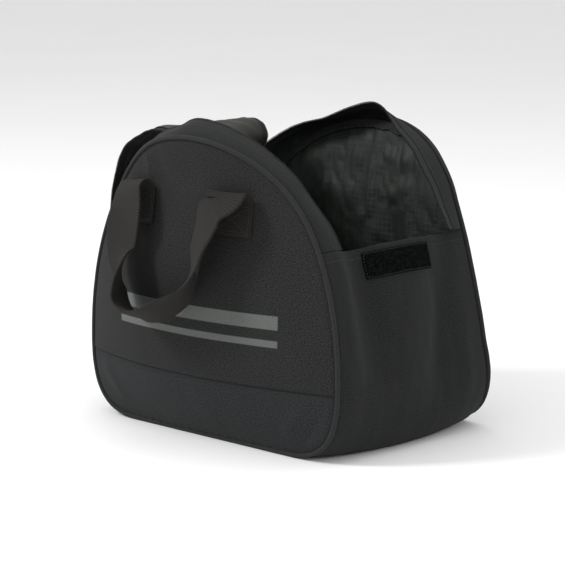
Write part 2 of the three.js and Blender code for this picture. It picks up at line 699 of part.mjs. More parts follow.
// Points of a handle's middle line with the heading of its width. outward is -1 on the front, +1 on the back.
function handleLine(surfaceY, outward, shift) {
  const flat = CLOTH / 2 + TAB_GAP + WEBBING_THICKNESS / 2;
  const rows = [];
  const tab = (side, heading) => {
    const x = shift + (side * HANDLE_SPREAD) / 2;
    const reach = WEBBING_WIDTH / 2;
    const place = (z, out) => {
      const slope = (surfaceY(x + reach, z) - surfaceY(x - reach, z)) / WEBBING_WIDTH;
      const turn = heading - outward * THREE.MathUtils.radToDeg(Math.atan(slope));
      const stand = (outward * out) / Math.hypot(slope, 1);
      return { x: x - slope * stand, z, y: surfaceY(x, z) + stand, turn, rise: 0 };
    };
    return [
      place(HANDLE_TOP - TAB_LENGTH, flat),
      place(HANDLE_TOP - TAB_LENGTH / 2, flat),
      place(HANDLE_TOP - FOLD_STAND / 2, flat),
      place(HANDLE_TOP, FOLD_STAND / 2 + flat),
      place(HANDLE_TOP - FOLD_STAND / 2, FOLD_STAND + flat),
    ];
  };
  rows.push(...tab(-1, 0));
  HANDLE_RUN.forEach(({ across, out, drop, turn, rise }) => {
    const x = shift + across * HANDLE_SPREAD;
    const z = HANDLE_TOP - drop * HANDLE_DROP;
    rows.push({ x, z, y: surfaceY(x, z) + outward * (flat + out * WEBBING_WIDTH), turn, rise });
  });
  rows.push(...tab(1, 0).reverse());
  return rows;
}

function handleGeometry(surfaceY, outward, shift) {
  const rows = handleLine(surfaceY, outward, shift);
  const points = rows.map((row) => new THREE.Vector3(row.x, row.y, row.z));
  const curve = new THREE.CatmullRomCurve3(points, false, 'centripetal');
  const last = rows.length - 1;
  const table = rows.map((row, k) => ({ at: k, turn: row.turn, rise: row.rise }));
  const outer = [];
  const inner = [];
  for (let k = 0; k <= HANDLE_STEPS; k += 1) {
    const t = curve.getUtoTmapping(k / HANDLE_STEPS);
    const centre = curve.getPoint(t);
    const tangent = curve.getTangent(t);
    const turn = THREE.MathUtils.degToRad(readTable(table, 'at', 'turn', t * last)) * -outward;
    const width = new THREE.Vector3(Math.cos(turn), Math.sin(turn), readTable(table, 'at', 'rise', t * last));
    width.addScaledVector(tangent, -width.dot(tangent)).normalize().multiplyScalar(WEBBING_WIDTH / 2);
    const face = tangent.clone().cross(width).normalize().multiplyScalar(WEBBING_THICKNESS / 2);
    const edges = [centre.clone().sub(width), centre, centre.clone().add(width)];
    outer.push(edges.map((point) => point.clone().add(face)));
    inner.push(edges.map((point) => point.clone().sub(face)));
  }
  return slabGeometry(outer, inner);
}

function addHandles(group) {
  const front = handleGeometry(frontPanelY, -1, HANDLE_SHIFT);
  const back = handleGeometry(backPanelY, 1, 0);
  addPiece(group, 'front_handle', front, finishes.webbing);
  addPiece(group, 'back_handle', back, finishes.webbing);
}

function helmetBag() {
  const bag = new THREE.Group();
  addPanels(bag);
  addPiping(bag, 'front_piping', frontSeamY);
  addPiping(bag, 'back_piping', backSeamY);
  addGusset(bag);
  addLoopPatch(bag);
  addMouth(bag);
  addBinding(bag);
  addFlap(bag);
  addHandles(bag);
  return bag;
}

export default helmetBag();
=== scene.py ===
"""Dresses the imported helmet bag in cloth, lining, webbing, zips and stitching, in a plain studio.

Lengths are millimetres until a mesh is written, which is in metres, as the frame is. The bag stands on z = 0,
its front panel faces -Y and the gusset with the fastening patch faces +X.
"""

import logging
import math
from dataclasses import dataclass, field
from enum import Enum
from typing import Callable, Optional, Sequence

import bmesh
import bpy
import numpy as np
from mathutils import Matrix, Vector, noise


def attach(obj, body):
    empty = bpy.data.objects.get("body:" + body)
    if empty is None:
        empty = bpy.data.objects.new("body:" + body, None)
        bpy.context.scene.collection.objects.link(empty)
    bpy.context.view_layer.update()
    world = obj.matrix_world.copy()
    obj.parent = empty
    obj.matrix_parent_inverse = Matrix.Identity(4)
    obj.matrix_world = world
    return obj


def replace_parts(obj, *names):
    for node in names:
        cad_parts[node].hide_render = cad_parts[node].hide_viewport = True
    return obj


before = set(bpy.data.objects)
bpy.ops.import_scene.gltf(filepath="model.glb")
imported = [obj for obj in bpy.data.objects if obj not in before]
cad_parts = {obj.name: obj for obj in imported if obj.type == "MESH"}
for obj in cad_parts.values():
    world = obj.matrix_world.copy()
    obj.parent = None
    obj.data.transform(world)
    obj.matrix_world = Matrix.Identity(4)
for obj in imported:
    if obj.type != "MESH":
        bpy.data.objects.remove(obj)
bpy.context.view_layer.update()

LOG = logging.getLogger("helmet_bag")
MM = 0.001
BODY = "root"
# length of one band of a wave texture of scale 1
WAVE_PERIOD = 0.314
# the photograph: pixels a millimetre at the bag, and pixels across
PHOTO_SCALE = 0.947
PHOTO_PIXELS = 565
LINING_WALL = 1.0
# how deep the cloth dips beside the piping, and how far the dip reaches
PANEL_DIP = 4.0
GUSSET_DIP = 3.4
STRIP_DIP = 2.2
DIP_REACH = 2.8
STRIP_DIP_REACH = 2.4

Place = Callable[[np.ndarray, np.ndarray], np.ndarray]
Row = tuple[float, ...]


class Side(Enum):
    """The two domed faces of the bag, with the direction that each looks in along Y."""

    FRONT = -1
    BACK = 1


class Slot(Enum):
    """Material slots of the record."""

    PANEL = "panel_cloth"
    GUSSET = "gusset_cloth"
    LINING = "lining"
    PIPING = "piping"
    TAPE = "zip_tape"
    BINDING = "binding"
    PATCH = "patch"
    WEBBING = "webbing"


def read_table(places: np.ndarray, rows: Sequence[Row], column: int) -> np.ndarray:
    """Reads a table on a smooth curve through its rows.

    Args:
        places: where to read, in the units of the table's first column.
        rows: the table, sorted by its first column.
        column: index of the column to read.

    Returns:
        The values at the places.
    """
    table = np.array(rows, float)
    keys, values = table[:, 0], table[:, column]
    at = np.clip(np.asarray(places, float), keys[0], keys[-1])
    i = np.clip(np.searchsorted(keys, at, side="right") - 1, 0, len(keys) - 2)
    slopes = np.empty_like(values)
    slopes[1:-1] = (values[2:] - values[:-2]) / (keys[2:] - keys[:-2])
    slopes[0] = (values[1] - values[0]) / (keys[1] - keys[0])
    slopes[-1] = (values[-1] - values[-2]) / (keys[-1] - keys[-2])
    span = keys[i + 1] - keys[i]
    t = (at - keys[i]) / span
    start = (2 * t**3 - 3 * t**2 + 1) * values[i] + (t**3 - 2 * t**2 + t) * span * slopes[i]
    end = (3 * t**2 - 2 * t**3) * values[i + 1] + (t**3 - t**2) * span * slopes[i + 1]
    return start + end


def soft_noise(points: np.ndarray, size: float, seed: float) -> np.ndarray:
    """Smooth noise at points, about -1 to 1, with bumps of a given size in mm."""
    shift = Vector((seed, 2.3 * seed, -1.7 * seed))
    return np.array([noise.noise(Vector(p) / size + shift) for p in points.tolist()])


def bell(distance: np.ndarray, width: float) -> np.ndarray:
    """A smooth bump that is 1 at no distance and fades over a width."""
    return np.exp(-((distance / width) ** 2))


def bezier(points: Sequence[tuple[float, float]], count: int) -> np.ndarray:
    """Draws a cubic Bezier curve in the XZ plane.

    Args:
        points: its four control points.
        count: number of points to return.

    Returns:
        Points along the curve, without its first one.
    """
    p = np.array(points, float)
    t = np.linspace(0, 1, count + 1)[1:, None]
    return (1 - t) ** 3 * p[0] + 3 * (1 - t) ** 2 * t * p[1] + 3 * (1 - t) * t**2 * p[2] + t**3 * p[3]


def spline(points: np.ndarray, count: int) -> np.ndarray:
    """An evenly spaced smooth curve through points.

    Args:
        points: the points to pass through, one row each.
        count: number of points to return.

    Returns:
        Points on a centripetal Catmull-Rom curve, at equal steps of its length.
    """
    p = np.vstack([2 * points[0] - points[1], points, 2 * points[-1] - points[-2]])
    knots = np.concatenate([[0], np.cumsum(np.linalg.norm(np.diff(p, axis=0), axis=1) ** 0.5)])
    pieces = []
    for i in range(1, len(p) - 2):
        t = np.linspace(knots[i], knots[i + 1], 24, endpoint=i == len(p) - 3)[:, None]
        level = [np.broadcast_to(p[k], (len(t), p.shape[1])) for k in range(i - 1, i + 3)]
        for spread, first in ((1, i - 1), (2, i - 1), (1, i)):
            level = [
                ((knots[first + k + spread] - t) * a + (t - knots[first + k]) * b)
                / (knots[first + k + spread] - knots[first + k])
                for k, (a, b) in enumerate(zip(level[:-1], level[1:]))
            ]
        pieces.append(level[0])
    fine = np.vstack(pieces)
    run = np.concatenate([[0], np.cumsum(np.linalg.norm(np.diff(fine, axis=0), axis=1))])
    at = np.linspace(0, run[-1], count)
    return np.stack([np.interp(at, run, fine[:, k]) for k in range(points.shape[1])], 1)


@dataclass
class BagForm:
    """The bag's true form: its outline, its seams and the middle surfaces of its walls."""

    width: float = 364.0
    height: float = 317.0
    depth: float = 242.0
    base_flat: float = 224.0
    corner_height: float = 80.0
    corner_reach: float = 50.0
    corner_rise: float = 28.0
    shoulder_rise: float = 127.0
    crown_reach: float = 118.0
    lower_seam: float = 71.0
    hem: float = 210.0
    cloth: float = 2.0
    piping: float = 2.6
    seam_gap: float = 0.35
    face_gap: float = 0.6
    tuck: float = 1.8
    front_lean: float = 31.0
    back_lean: float = 17.0
    waist_pinch: float = 24.0
    front_bulge: float = 33.0
    back_bulge: float = 20.0
    front_skew: float = 0.22
    corner_fill: float = 13.0
    floor_steps: int = 60
    corner_steps: int = 240
    dome_steps: int = 500
    # height share, front lean, back lean, waist pinch
    leans: Sequence[Row] = (
        (0.0, 0.0, 0.0, 0.0), (0.12, 0.0, 0.0, 0.17), (0.18, 0.0, 0.0, 0.27), (0.24, 0.0, 0.0, 0.44),
        (0.3, 0.0, 0.0, 0.66), (0.37, 0.0, 0.0, 0.81), (0.45, 0.0, 0.0, 0.94), (0.55, 0.0, 0.0, 1.0),
        (0.66, 0.0, 0.0, 0.9), (0.74, 0.03, 0.0, 0.71), (0.8, 0.1, 0.0, 0.42), (0.86, 0.24, 0.0, 0.14),
        (0.91, 0.45, 0.25, 0.0), (0.96, 0.75, 0.65, 0.0), (1.0, 1.0, 1.0, 0.0),
    )
    # height share, front bulge, back bulge
    bulges: Sequence[Row] = (
        (0.0, 0.0, 0.0), (0.06, 0.3, 0.35), (0.14, 0.66, 0.7), (0.24, 0.88, 0.9), (0.38, 1.0, 1.0),
        (0.52, 0.98, 0.95), (0.66, 0.82, 0.75), (0.8, 0.55, 0.45), (0.9, 0.26, 0.2), (1.0, 0.0, 0.0),
    )
    # side, low, high, place at low, place at high, width, out
    folds: Sequence[Row] = (
        (1, 0.1, 1.0, 0.09, 0.1, 0.06, 3.5), (1, 0.35, 1.25, 0.26, 0.23, 0.1, -11.0),
        (1, 0.2, 0.95, 0.46, 0.55, 0.13, 5.0), (1, 0.15, 1.05, 0.62, 0.84, 0.08, -6.5),
        (1, 0.1, 0.7, 0.8, 0.93, 0.09, 4.0), (-1, 0.15, 0.9, 0.2, 0.14, 0.08, 4.0),
        (-1, 0.2, 1.0, 0.4, 0.3, 0.1, -7.0), (-1, 0.1, 0.95, 0.6, 0.62, 0.14, 4.5),
        (-1, 0.3, 1.1, 0.86, 0.78, 0.08, -5.0),
    )
    # share of the mouth from the right hem over the crown to the left one, tilt of the front and rear strip
    tilts: Sequence[Row] = (
        (0.0, -4, 17), (0.06, -8, 11), (0.15, -13, 3), (0.24, -4, 0), (0.34, 7, 9), (0.42, 16, 31),
        (0.46, 22, 35), (0.54, 28, 17), (0.62, 20, 5), (0.72, 27, 13), (0.82, 26, 19), (0.92, 12, 14),
        (1.0, 0, 4),
    )
    path: np.ndarray = field(init=False, repr=False)
    run: np.ndarray = field(init=False, repr=False)
    normals: np.ndarray = field(init=False, repr=False)

    def __post_init__(self) -> None:
        """Lays the half outline out from the middle of the floor to the crown."""
        half, top, flat = self.half_width, self.height - self.piping, self.base_flat / 2
        floor = np.stack([np.linspace(0, flat, self.floor_steps), np.full(self.floor_steps, self.piping)], 1)
        corner = bezier([(flat, self.piping), (flat + self.corner_reach, self.piping),
                         (half, self.corner_rise), (half, self.corner_height)], self.corner_steps)
        dome = bezier([(half, self.corner_height), (half, self.corner_height + self.shoulder_rise),
                       (self.crown_reach, top), (0, top)], self.dome_steps)
        self.path = np.vstack([floor, corner, dome])
        self.run = np.concatenate([[0], np.cumsum(np.linalg.norm(np.diff(self.path, axis=0), axis=1))])
        slope = np.gradient(self.path, self.run, axis=0)
        slope /= np.linalg.norm(slope, axis=1)[:, None]
        self.normals = np.stack([slope[:, 1], -slope[:, 0]], 1)
        self.normals[-1] = (0, 1)

    @property
    def half_width(self) -> float:
        """Half the width between the seams at the widest place."""
        return self.width / 2 - self.piping

    @property
    def inset(self) -> float:
        """Distance from the seam's line to the edge of the cloth beside it."""
        return self.piping + self.seam_gap

    @property
    def tucked(self) -> float:
        """The same distance for cloth whose edge is tucked against the piping."""
        return self.inset - self.tuck

    @property
    def crown(self) -> float:
        """Length of the half outline."""
        return float(self.run[-1])

    def run_at(self, height: float) -> float:
        """Length of the outline from the middle of the floor up to a height."""
        return float(np.interp(height, self.path[self.floor_steps:, 1], self.run[self.floor_steps:]))

    def outline(self, q: np.ndarray) -> tuple[np.ndarray, np.ndarray, np.ndarray, np.ndarray]:
        """Point and outward normal of the seam's outline.

        Args:
            q: length along the outline from the middle of the floor, up the right side, over the crown
                and down the left side; negative lengths go up the left side.

        Returns:
            x, z and the two parts of the normal.
        """
        p = (np.asarray(q, float) + self.crown) % (2 * self.crown) - self.crown
        side = np.where(p < 0, -1.0, 1.0)
        at = np.abs(p)
        x, z = (np.interp(at, self.run, self.path[:, k]) for k in (0, 1))
        nx, nz = (np.interp(at, self.run, self.normals[:, k]) for k in (0, 1))
        return side * x, z, side * nx, nz

    def seam_y(self, side: Side, z: np.ndarray) -> np.ndarray:
        """Works out the depth of a seam.

        Args:
            side: the panel that the seam goes round.
            z: heights over the floor.

        Returns:
            Y of the seam at the heights.
        """
        h = np.asarray(z, float) / self.height
        if side is Side.FRONT:
            return -self.depth / 2 - self.front_lean * read_table(h, self.leans, 1)
        waist = self.waist_pinch * read_table(h, self.leans, 3)
        return self.depth / 2 + self.back_lean * read_table(h, self.leans, 2) - waist

    def face_y(self, side: Side, x: np.ndarray, z: np.ndarray) -> np.ndarray:
        """Works out the depth of a panel's middle surface.

        Args:
            side: the panel.
            x: places across the bag.
            z: heights over the floor.

        Returns:
            Y of the surface at the places.
        """
        wall = self.path[self.floor_steps:]
        half = np.maximum(np.interp(z, wall[:, 1], wall[:, 0]), 1.0)
        s = np.clip(x / half, -1, 1)
        h = np.asarray(z, float) / self.height
        if side is Side.FRONT:
            bulge = self.front_bulge * read_table(h, self.bulges, 1)
            return self.seam_y(side, z) - bulge * (1 - s * s) * (1 - self.front_skew * s)
        return self.seam_y(side, z) + self.back_bulge * read_table(h, self.bulges, 2) * (1 - s * s)

    def edge_distance(self, x: np.ndarray, z: np.ndarray) -> np.ndarray:
        """Measures how far points are from the seam's outline.

        Args:
            x: places across the bag.
            z: heights over the floor.

        Returns:
            Distances in the XZ plane.
        """
        line = np.vstack([self.path[::6], self.path[-1:]])
        gap = np.hypot(np.abs(x)[:, None] - line[None, :, 0], z[:, None] - line[None, :, 1])
        return gap.min(axis=1)

    def gusset_swell(self, x: np.ndarray, z: np.ndarray, nx: np.ndarray, nz: np.ndarray,
                     v: np.ndarray) -> np.ndarray:
        """Works out how far the gusset stands out of the outline.

        Args:
            x: places of the outline across the bag.
            z: heights of the outline.
            nx: the outline's normal along X.
            nz: the outline's normal along Z.
            v: share across the gusset's depth.

        Returns:
            The swell at the places.
        """
        height = z / self.hem
        pinned = np.minimum(1, 8 * v * (1 - v))
        swell = np.zeros_like(z)
        for side, low, high, at_low, at_high, width, out in self.folds:
            t = (height - low) / (high - low)
            shape = np.sqrt(np.sin(np.pi * np.clip(t, 0, 1)))
            place = at_low + (at_high - at_low) * t
            swell += np.where(np.sign(x) == side, out * shape * bell(v - place, width), 0)
        down = np.maximum(0, -nz)
        base = (self.piping - self.cloth / 2) * down * np.minimum(1, np.minimum(12 * v, 12 * (1 - v)))
        fill = self.corner_fill * 2 * np.abs(nx) * down * np.maximum(np.sin(np.pi * v), 0) ** 0.7
        return swell * pinned * (1 - down) + base + fill

    def tilt(self, side: Side, share: np.ndarray) -> np.ndarray:
        """Angle in radians by which a mouth strip rises out of the dome."""
        return np.radians(read_table(share, self.tilts, 1 if side is Side.FRONT else 2))


FORM = BagForm()


@dataclass(frozen=True)
class Crease:
    """A soft ridge or dent on a panel, from one place to another in the XZ plane."""

    start: tuple[float, float]
    end: tuple[float, float]
    width: float
    rise: float

    def relief(self, x: np.ndarray, z: np.ndarray) -> np.ndarray:
        """Works out the height of the crease.

        Args:
            x: places across the bag.
            z: heights over the floor.

        Returns:
            Its height at the places.
        """
        a, b = np.array(self.start), np.array(self.end)
        run = b - a
        t = ((x - a[0]) * run[0] + (z - a[1]) * run[1]) / (run @ run)
        off = np.hypot(x - a[0] - t * run[0], z - a[1] - t * run[1])
        return self.rise * bell(off, self.width) * np.sqrt(np.sin(np.pi * np.clip(t, 0, 1)))


@dataclass(frozen=True)
class Surface:
    """A surface given by two natural coordinates in mm."""

    place: Place
    u: tuple[float, float]
    v: tuple[float, float]
    outward: float = 1.0
    cloth_uv: Optional[Place] = None

    def texture(self, u: np.ndarray, v: np.ndarray) -> np.ndarray:
        """Flat cloth coordinates of points, in mm."""
        return self.cloth_uv(u, v) if self.cloth_uv else np.stack([u, v], 1)

    def normal(self, u: np.ndarray, v: np.ndarray) -> np.ndarray:
        """Works out the outward unit normals.

        Args:
            u: first coordinates of the points.
            v: second coordinates of the points.

        Returns:
            The normals, one row each.
        """
        step = 0.4
        along = self.place(u + step, v) - self.place(u - step, v)
        across = self.place(u, v + step) - self.place(u, v - step)
        n = self.outward * np.cross(along, across)
        return n / np.maximum(np.linalg.norm(n, axis=1), 1e-9)[:, None]

    def trace(self, corners: Sequence[tuple[float, float]], lift: float) -> tuple[np.ndarray, np.ndarray]:
        """A line drawn on the surface.

        Args:
            corners: the line's corners in the surface's coordinates.
            lift: height of the line over the surface.

        Returns:
            Points about 1 mm apart and their normals.
        """
        c = np.array(corners, float)
        parts = []
        for a, b in zip(c[:-1], c[1:]):
            count = max(3, int(np.linalg.norm(b - a)))
            parts.append(a + (b - a) * np.linspace(0, 1, count)[:, None])
        line = np.vstack(parts)
        n = self.normal(line[:, 0], line[:, 1])
        return self.place(line[:, 0], line[:, 1]) + n * lift, n


class Shader:
    """A node material under construction."""

    def __init__(self, name: str) -> None:
        """Starts an empty material with its output."""
        self.material = bpy.data.materials.new(name)
        self.material.use_nodes = True
        self.tree = self.material.node_tree
        self.tree.nodes.clear()
        self.output = self.tree.nodes.new("ShaderNodeOutputMaterial")

    def add(self, kind: str, inputs: Optional[dict] = None, **settings: object) -> bpy.types.Node:
        """Adds a node.

        Args:
            kind: the node's type, without its ShaderNode prefix.
            inputs: values or output sockets, by input name or number.
            **settings: properties of the node.

        Returns:
            The new node.
        """
        node = self.tree.nodes.new("ShaderNode" + kind)
        for key, value in settings.items():
            setattr(node, key, value)
        for key, value in (inputs or {}).items():
            if isinstance(value, bpy.types.NodeSocket):
                self.tree.links.new(value, node.inputs[key])
            else:
                node.inputs[key].default_value = value
        return node

    def maths(self, operation: str, *values: object) -> bpy.types.NodeSocket:
        """The result of a Math node."""
        return self.add("Math", dict(enumerate(values)), operation=operation).outputs[0]

    def blend(self, factor: object, dark: object, light: object) -> bpy.types.NodeSocket:
        """The result of mixing two colours."""
        node = self.add("Mix", {0: factor, 6: dark, 7: light}, data_type="RGBA")
        return node.outputs[2]

    def coordinates(self, scale: tuple[float, float, float]) -> bpy.types.NodeSocket:
        """The piece's UV map, scaled per metre."""
        uv = self.add("TexCoord").outputs["UV"]
        return self.add("Mapping", {"Vector": uv, "Scale": scale}).outputs[0]

    def noise(self, vector: object, scale: float, detail: float = 2.0) -> bpy.types.NodeSocket:
        """A noise factor."""
        return self.add("TexNoise", {"Vector": vector, "Scale": scale, "Detail": detail}).outputs[0]

    def ramp(self, factor: object, low: float, high: float) -> bpy.types.NodeSocket:
        """A factor stretched so that low becomes 0 and high becomes 1."""
        return self.add("MapRange", {0: factor, 1: low, 2: high}).outputs[0]

    def bump(self, height: object, distance: float, strength: float = 1.0,
             normal: Optional[object] = None) -> bpy.types.NodeSocket:
        """Makes a bumped normal.

        Args:
            height: the height's socket.
            distance: height of the bumps in mm.
            strength: strength of the bumps.
            normal: a normal to start from.

        Returns:
            The normal's socket.
        """
        inputs = {"Height": height, "Distance": distance * MM, "Strength": strength}
        if normal is not None:
            inputs["Normal"] = normal
        return self.add("Bump", inputs).outputs[0]

    def finish(self, **inputs: object) -> bpy.types.Material:
        """Closes the material with a Principled shader.

        Args:
            **inputs: its inputs by name, with _ for spaces.

        Returns:
            The material.
        """
        named = {key.replace("_", " "): value for key, value in inputs.items()}
        surface = self.add("BsdfPrincipled", named)
        self.tree.links.new(surface.outputs[0], self.output.inputs[0])
        return self.material


def tone(colour: Sequence[float], share: float) -> tuple[float, float, float, float]:
    """A colour made darker or lighter by a share, as a socket value."""
    return (colour[0] * share, colour[1] * share, colour[2] * share, 1.0)


@dataclass(frozen=True)
class Print:
    """A plain stripe of light reflective ink, between two places in the XZ plane."""

    left: float
    right: float
    low: float
    high: float


@dataclass(frozen=True)
class WovenCloth:
    """Heathered woven polyester."""

    name: str
    colour: tuple[float, float, float]
    fleck: float = 0.75
    thread: float = 0.75
    relief: float = 0.16
    roughness: float = 0.88
    sheen: float = 0.03
    prints: Sequence[Print] = ()
    ink: tuple[float, float, float] = (0.105, 0.112, 0.105)

    def build(self) -> bpy.types.Material:
        """Makes the material.

        Returns:
            The material, with all its nodes.
        """
        s = Shader(self.name)
        flat = s.coordinates((1, 1, 1))
        speck = s.noise(flat, 1 / (1.2 * MM), 3.0)
        streak = s.noise(s.coordinates((1, 3.2, 1)), 1 / (2.6 * MM), 2.0)
        drift = s.noise(flat, 9.0, 3.0)
        mix = s.maths("ADD", s.maths("MULTIPLY", speck, 0.68), s.maths("MULTIPLY", streak, 0.32))
        grain = s.ramp(mix, 0.38, 0.63)
        base = s.blend(grain, tone(self.colour, 1 - self.fleck), tone(self.colour, 1 + self.fleck))
        base = s.blend(s.ramp(drift, 0.3, 0.75), base, s.blend(0.14, base, tone(self.colour, 1.6)))
        warp = s.add("TexWave", {"Vector": flat, "Scale": WAVE_PERIOD / (self.thread * MM), "Distortion": 0.6,
                                 "Detail": 1.0}, bands_direction="X").outputs[1]
        weft = s.add("TexWave", {"Vector": flat, "Scale": WAVE_PERIOD / (self.thread * MM), "Distortion": 0.6,
                                 "Detail": 1.0}, bands_direction="Y").outputs[1]
        weave = s.maths("MULTIPLY", warp, weft)
        height = s.maths("ADD", weave, s.maths("MULTIPLY", grain, 0.3))
        normal = s.bump(height, self.relief, 0.8)
        rough = s.add("MapRange", {0: grain, 3: self.roughness - 0.06, 4: self.roughness + 0.06}).outputs[0]
        if self.prints:
            mask = self.ink_mask(s, grain)
            base = s.blend(mask, base, tone(self.ink, 1.0))
            rough = s.add("MapRange", {0: mask, 3: self.roughness, 4: 0.5}).outputs[0]
        return s.finish(Base_Color=base, Roughness=rough, Normal=normal, Sheen_Weight=self.sheen,
                        Sheen_Roughness=0.5, Specular_IOR_Level=0.12)

    def ink_mask(self, s: Shader, grain: object) -> bpy.types.NodeSocket:
        """Masks the ink, with the weave showing through and soft edges.

        Args:
            s: the material.
            grain: the weave's factor.

        Returns:
            The mask's socket.
        """
        place = s.add("SeparateXYZ", {0: s.add("TexCoord").outputs["Object"]})
        x, z = place.outputs[0], place.outputs[2]
        soft = 0.5 * MM
        total: object = 0.0
        for stripe in self.prints:
            ends = [(x, stripe.left, 1), (x, stripe.right, -1), (z, stripe.low, 1), (z, stripe.high, -1)]
            inside: object = 1.0
            for socket, limit, way in ends:
                low, high = limit * MM - way * soft, limit * MM + way * soft
                inside = s.maths("MULTIPLY", inside, s.ramp(socket, low, high))
            total = s.maths("MAXIMUM", total, inside)
        worn = s.add("MapRange", {0: grain, 1: 0.0, 2: 0.45, 3: 0.72, 4: 1.0}).outputs[0]
        return s.maths("MULTIPLY", total, worn)


@dataclass(frozen=True)
class Lining:
    """Thin nylon with an embossed grid of small squares and rings."""

    name: str
    colour: tuple[float, float, float]
    cell: float = 6.0
    ring: float = 0.17
    square: float = 0.41

    def build(self) -> bpy.types.Material:
        """Makes the material.

        Returns:
            The material, with all its nodes.
        """
        s = Shader(self.name)
        grid = s.coordinates((1 / (self.cell * MM), 1 / (self.cell * MM), 1))
        cell = s.add("VectorMath", {0: s.add("VectorMath", {0: grid}, operation="FRACTION").outputs[0],
                                    1: (0.5, 0.5, 0.0)}, operation="SUBTRACT").outputs[0]
        parts = s.add("SeparateXYZ", {0: cell})
        x, y = (s.maths("ABSOLUTE", parts.outputs[k]) for k in (0, 1))
        radius = s.maths("SQRT", s.maths("ADD", s.maths("MULTIPLY", x, x), s.maths("MULTIPLY", y, y)))
        ring = s.ramp(s.maths("ABSOLUTE", s.maths("SUBTRACT", radius, self.ring)), 0.09, 0.04)
        border = s.maths("SUBTRACT", s.maths("MAXIMUM", x, y), self.square)
        frame_line = s.ramp(s.maths("ABSOLUTE", border), 0.07, 0.02)
        emboss = s.maths("MAXIMUM", ring, frame_line)
        flat = s.coordinates((1, 1, 1))
        worn = s.ramp(s.noise(flat, 14.0, 2.0), 0.38, 0.56)
        mark = s.maths("MULTIPLY", emboss, worn)
        cloudy = s.ramp(s.noise(flat, 16.0, 4.0), 0.3, 0.7)
        base = s.blend(cloudy, tone(self.colour, 0.78), tone(self.colour, 1.22))
        base = s.blend(s.maths("MULTIPLY", mark, 0.8), base, tone(self.colour, 3.0))
        crumple = s.noise(flat, 60.0, 3.0)
        normal = s.bump(crumple, 2.0, 0.5)
        normal = s.bump(mark, 0.35, 0.6, normal)
        return s.finish(Base_Color=base, Roughness=0.55, Normal=normal, Specular_IOR_Level=0.25)


@dataclass(frozen=True)
class Webbing:
    """Polypropylene webbing with fine cross ribs and a plain selvage."""

    name: str
    colour: tuple[float, float, float]
    width: float = 50.0
    rib: float = 1.7

    def build(self) -> bpy.types.Material:
        """Makes the material.

        Returns:
            The material, with all its nodes.
        """
        s = Shader(self.name)
        flat = s.coordinates((1, 1, 1))
        ribs = s.add("TexWave", {"Vector": flat, "Scale": WAVE_PERIOD / (self.rib * MM), "Distortion": 0.5,
                                 "Detail": 2.0, "Detail Scale": 60.0}, bands_direction="X").outputs[1]
        cords = s.add("TexWave", {"Vector": flat, "Scale": WAVE_PERIOD / (1.1 * MM), "Distortion": 0.4,
                                  "Detail": 1.0}, bands_direction="Y").outputs[1]
        across = s.add("SeparateXYZ", {0: flat}).outputs[1]
        off = s.maths("ABSOLUTE", s.maths("SUBTRACT", across, self.width * MM / 2))
        edge = s.ramp(off, (self.width / 2 - 3.2) * MM, (self.width / 2 - 2.2) * MM)
        weave = s.maths("ADD", s.maths("MULTIPLY", ribs, 0.75), s.maths("MULTIPLY", cords, 0.35))
        fuzz = s.noise(flat, 1 / (0.9 * MM), 3.0)
        mixed = s.maths("ADD", s.maths("MULTIPLY", weave, 0.7), s.maths("MULTIPLY", fuzz, 0.5))
        shade = s.ramp(mixed, 0.2, 0.95)
        base = s.blend(shade, tone(self.colour, 0.52), tone(self.colour, 1.42))
        base = s.blend(s.maths("MULTIPLY", edge, 0.4), base, tone(self.colour, 0.72))
        normal = s.bump(s.maths("ADD", weave, s.maths("MULTIPLY", fuzz, 0.3)), 0.34, 0.85)
        return s.finish(Base_Color=base, Roughness=0.85, Normal=normal, Sheen_Weight=0.03,
                        Sheen_Roughness=0.45, Specular_IOR_Level=0.12)


@dataclass(frozen=True)
class Pile:
    """Fuzzy hook and loop fastening."""

    name: str
    colour: tuple[float, float, float]
    tuft: float = 1.3

    def build(self) -> bpy.types.Material:
        """Makes the material.

        Returns:
            The material, with all its nodes.
        """
        s = Shader(self.name)
        flat = s.coordinates((1, 1, 1))
        tufts = s.add("TexVoronoi", {"Vector": flat, "Scale": 1 / (self.tuft * MM),
                                     "Randomness": 1.0}).outputs[0]
        fuzz = s.noise(flat, 1 / (1.4 * MM), 4.0)
        clumps = s.noise(flat, 1 / (4.5 * MM), 2.0)
        mixed = s.maths("ADD", s.maths("MULTIPLY", fuzz, 0.7), s.maths("MULTIPLY", clumps, 0.4))
        # Lighter flecks: partly the pile's own fibre tone, partly painted highlights where the loops catch
        # light.
        light = s.ramp(mixed, 0.46, 0.8)
        base = s.blend(light, tone(self.colour, 0.3), tone(self.colour, 3.0))
        normal = s.bump(s.maths("ADD", fuzz, tufts), 1.6, 1.0)
        return s.finish(Base_Color=base, Roughness=1.0, Normal=normal, Specular_IOR_Level=0.02)


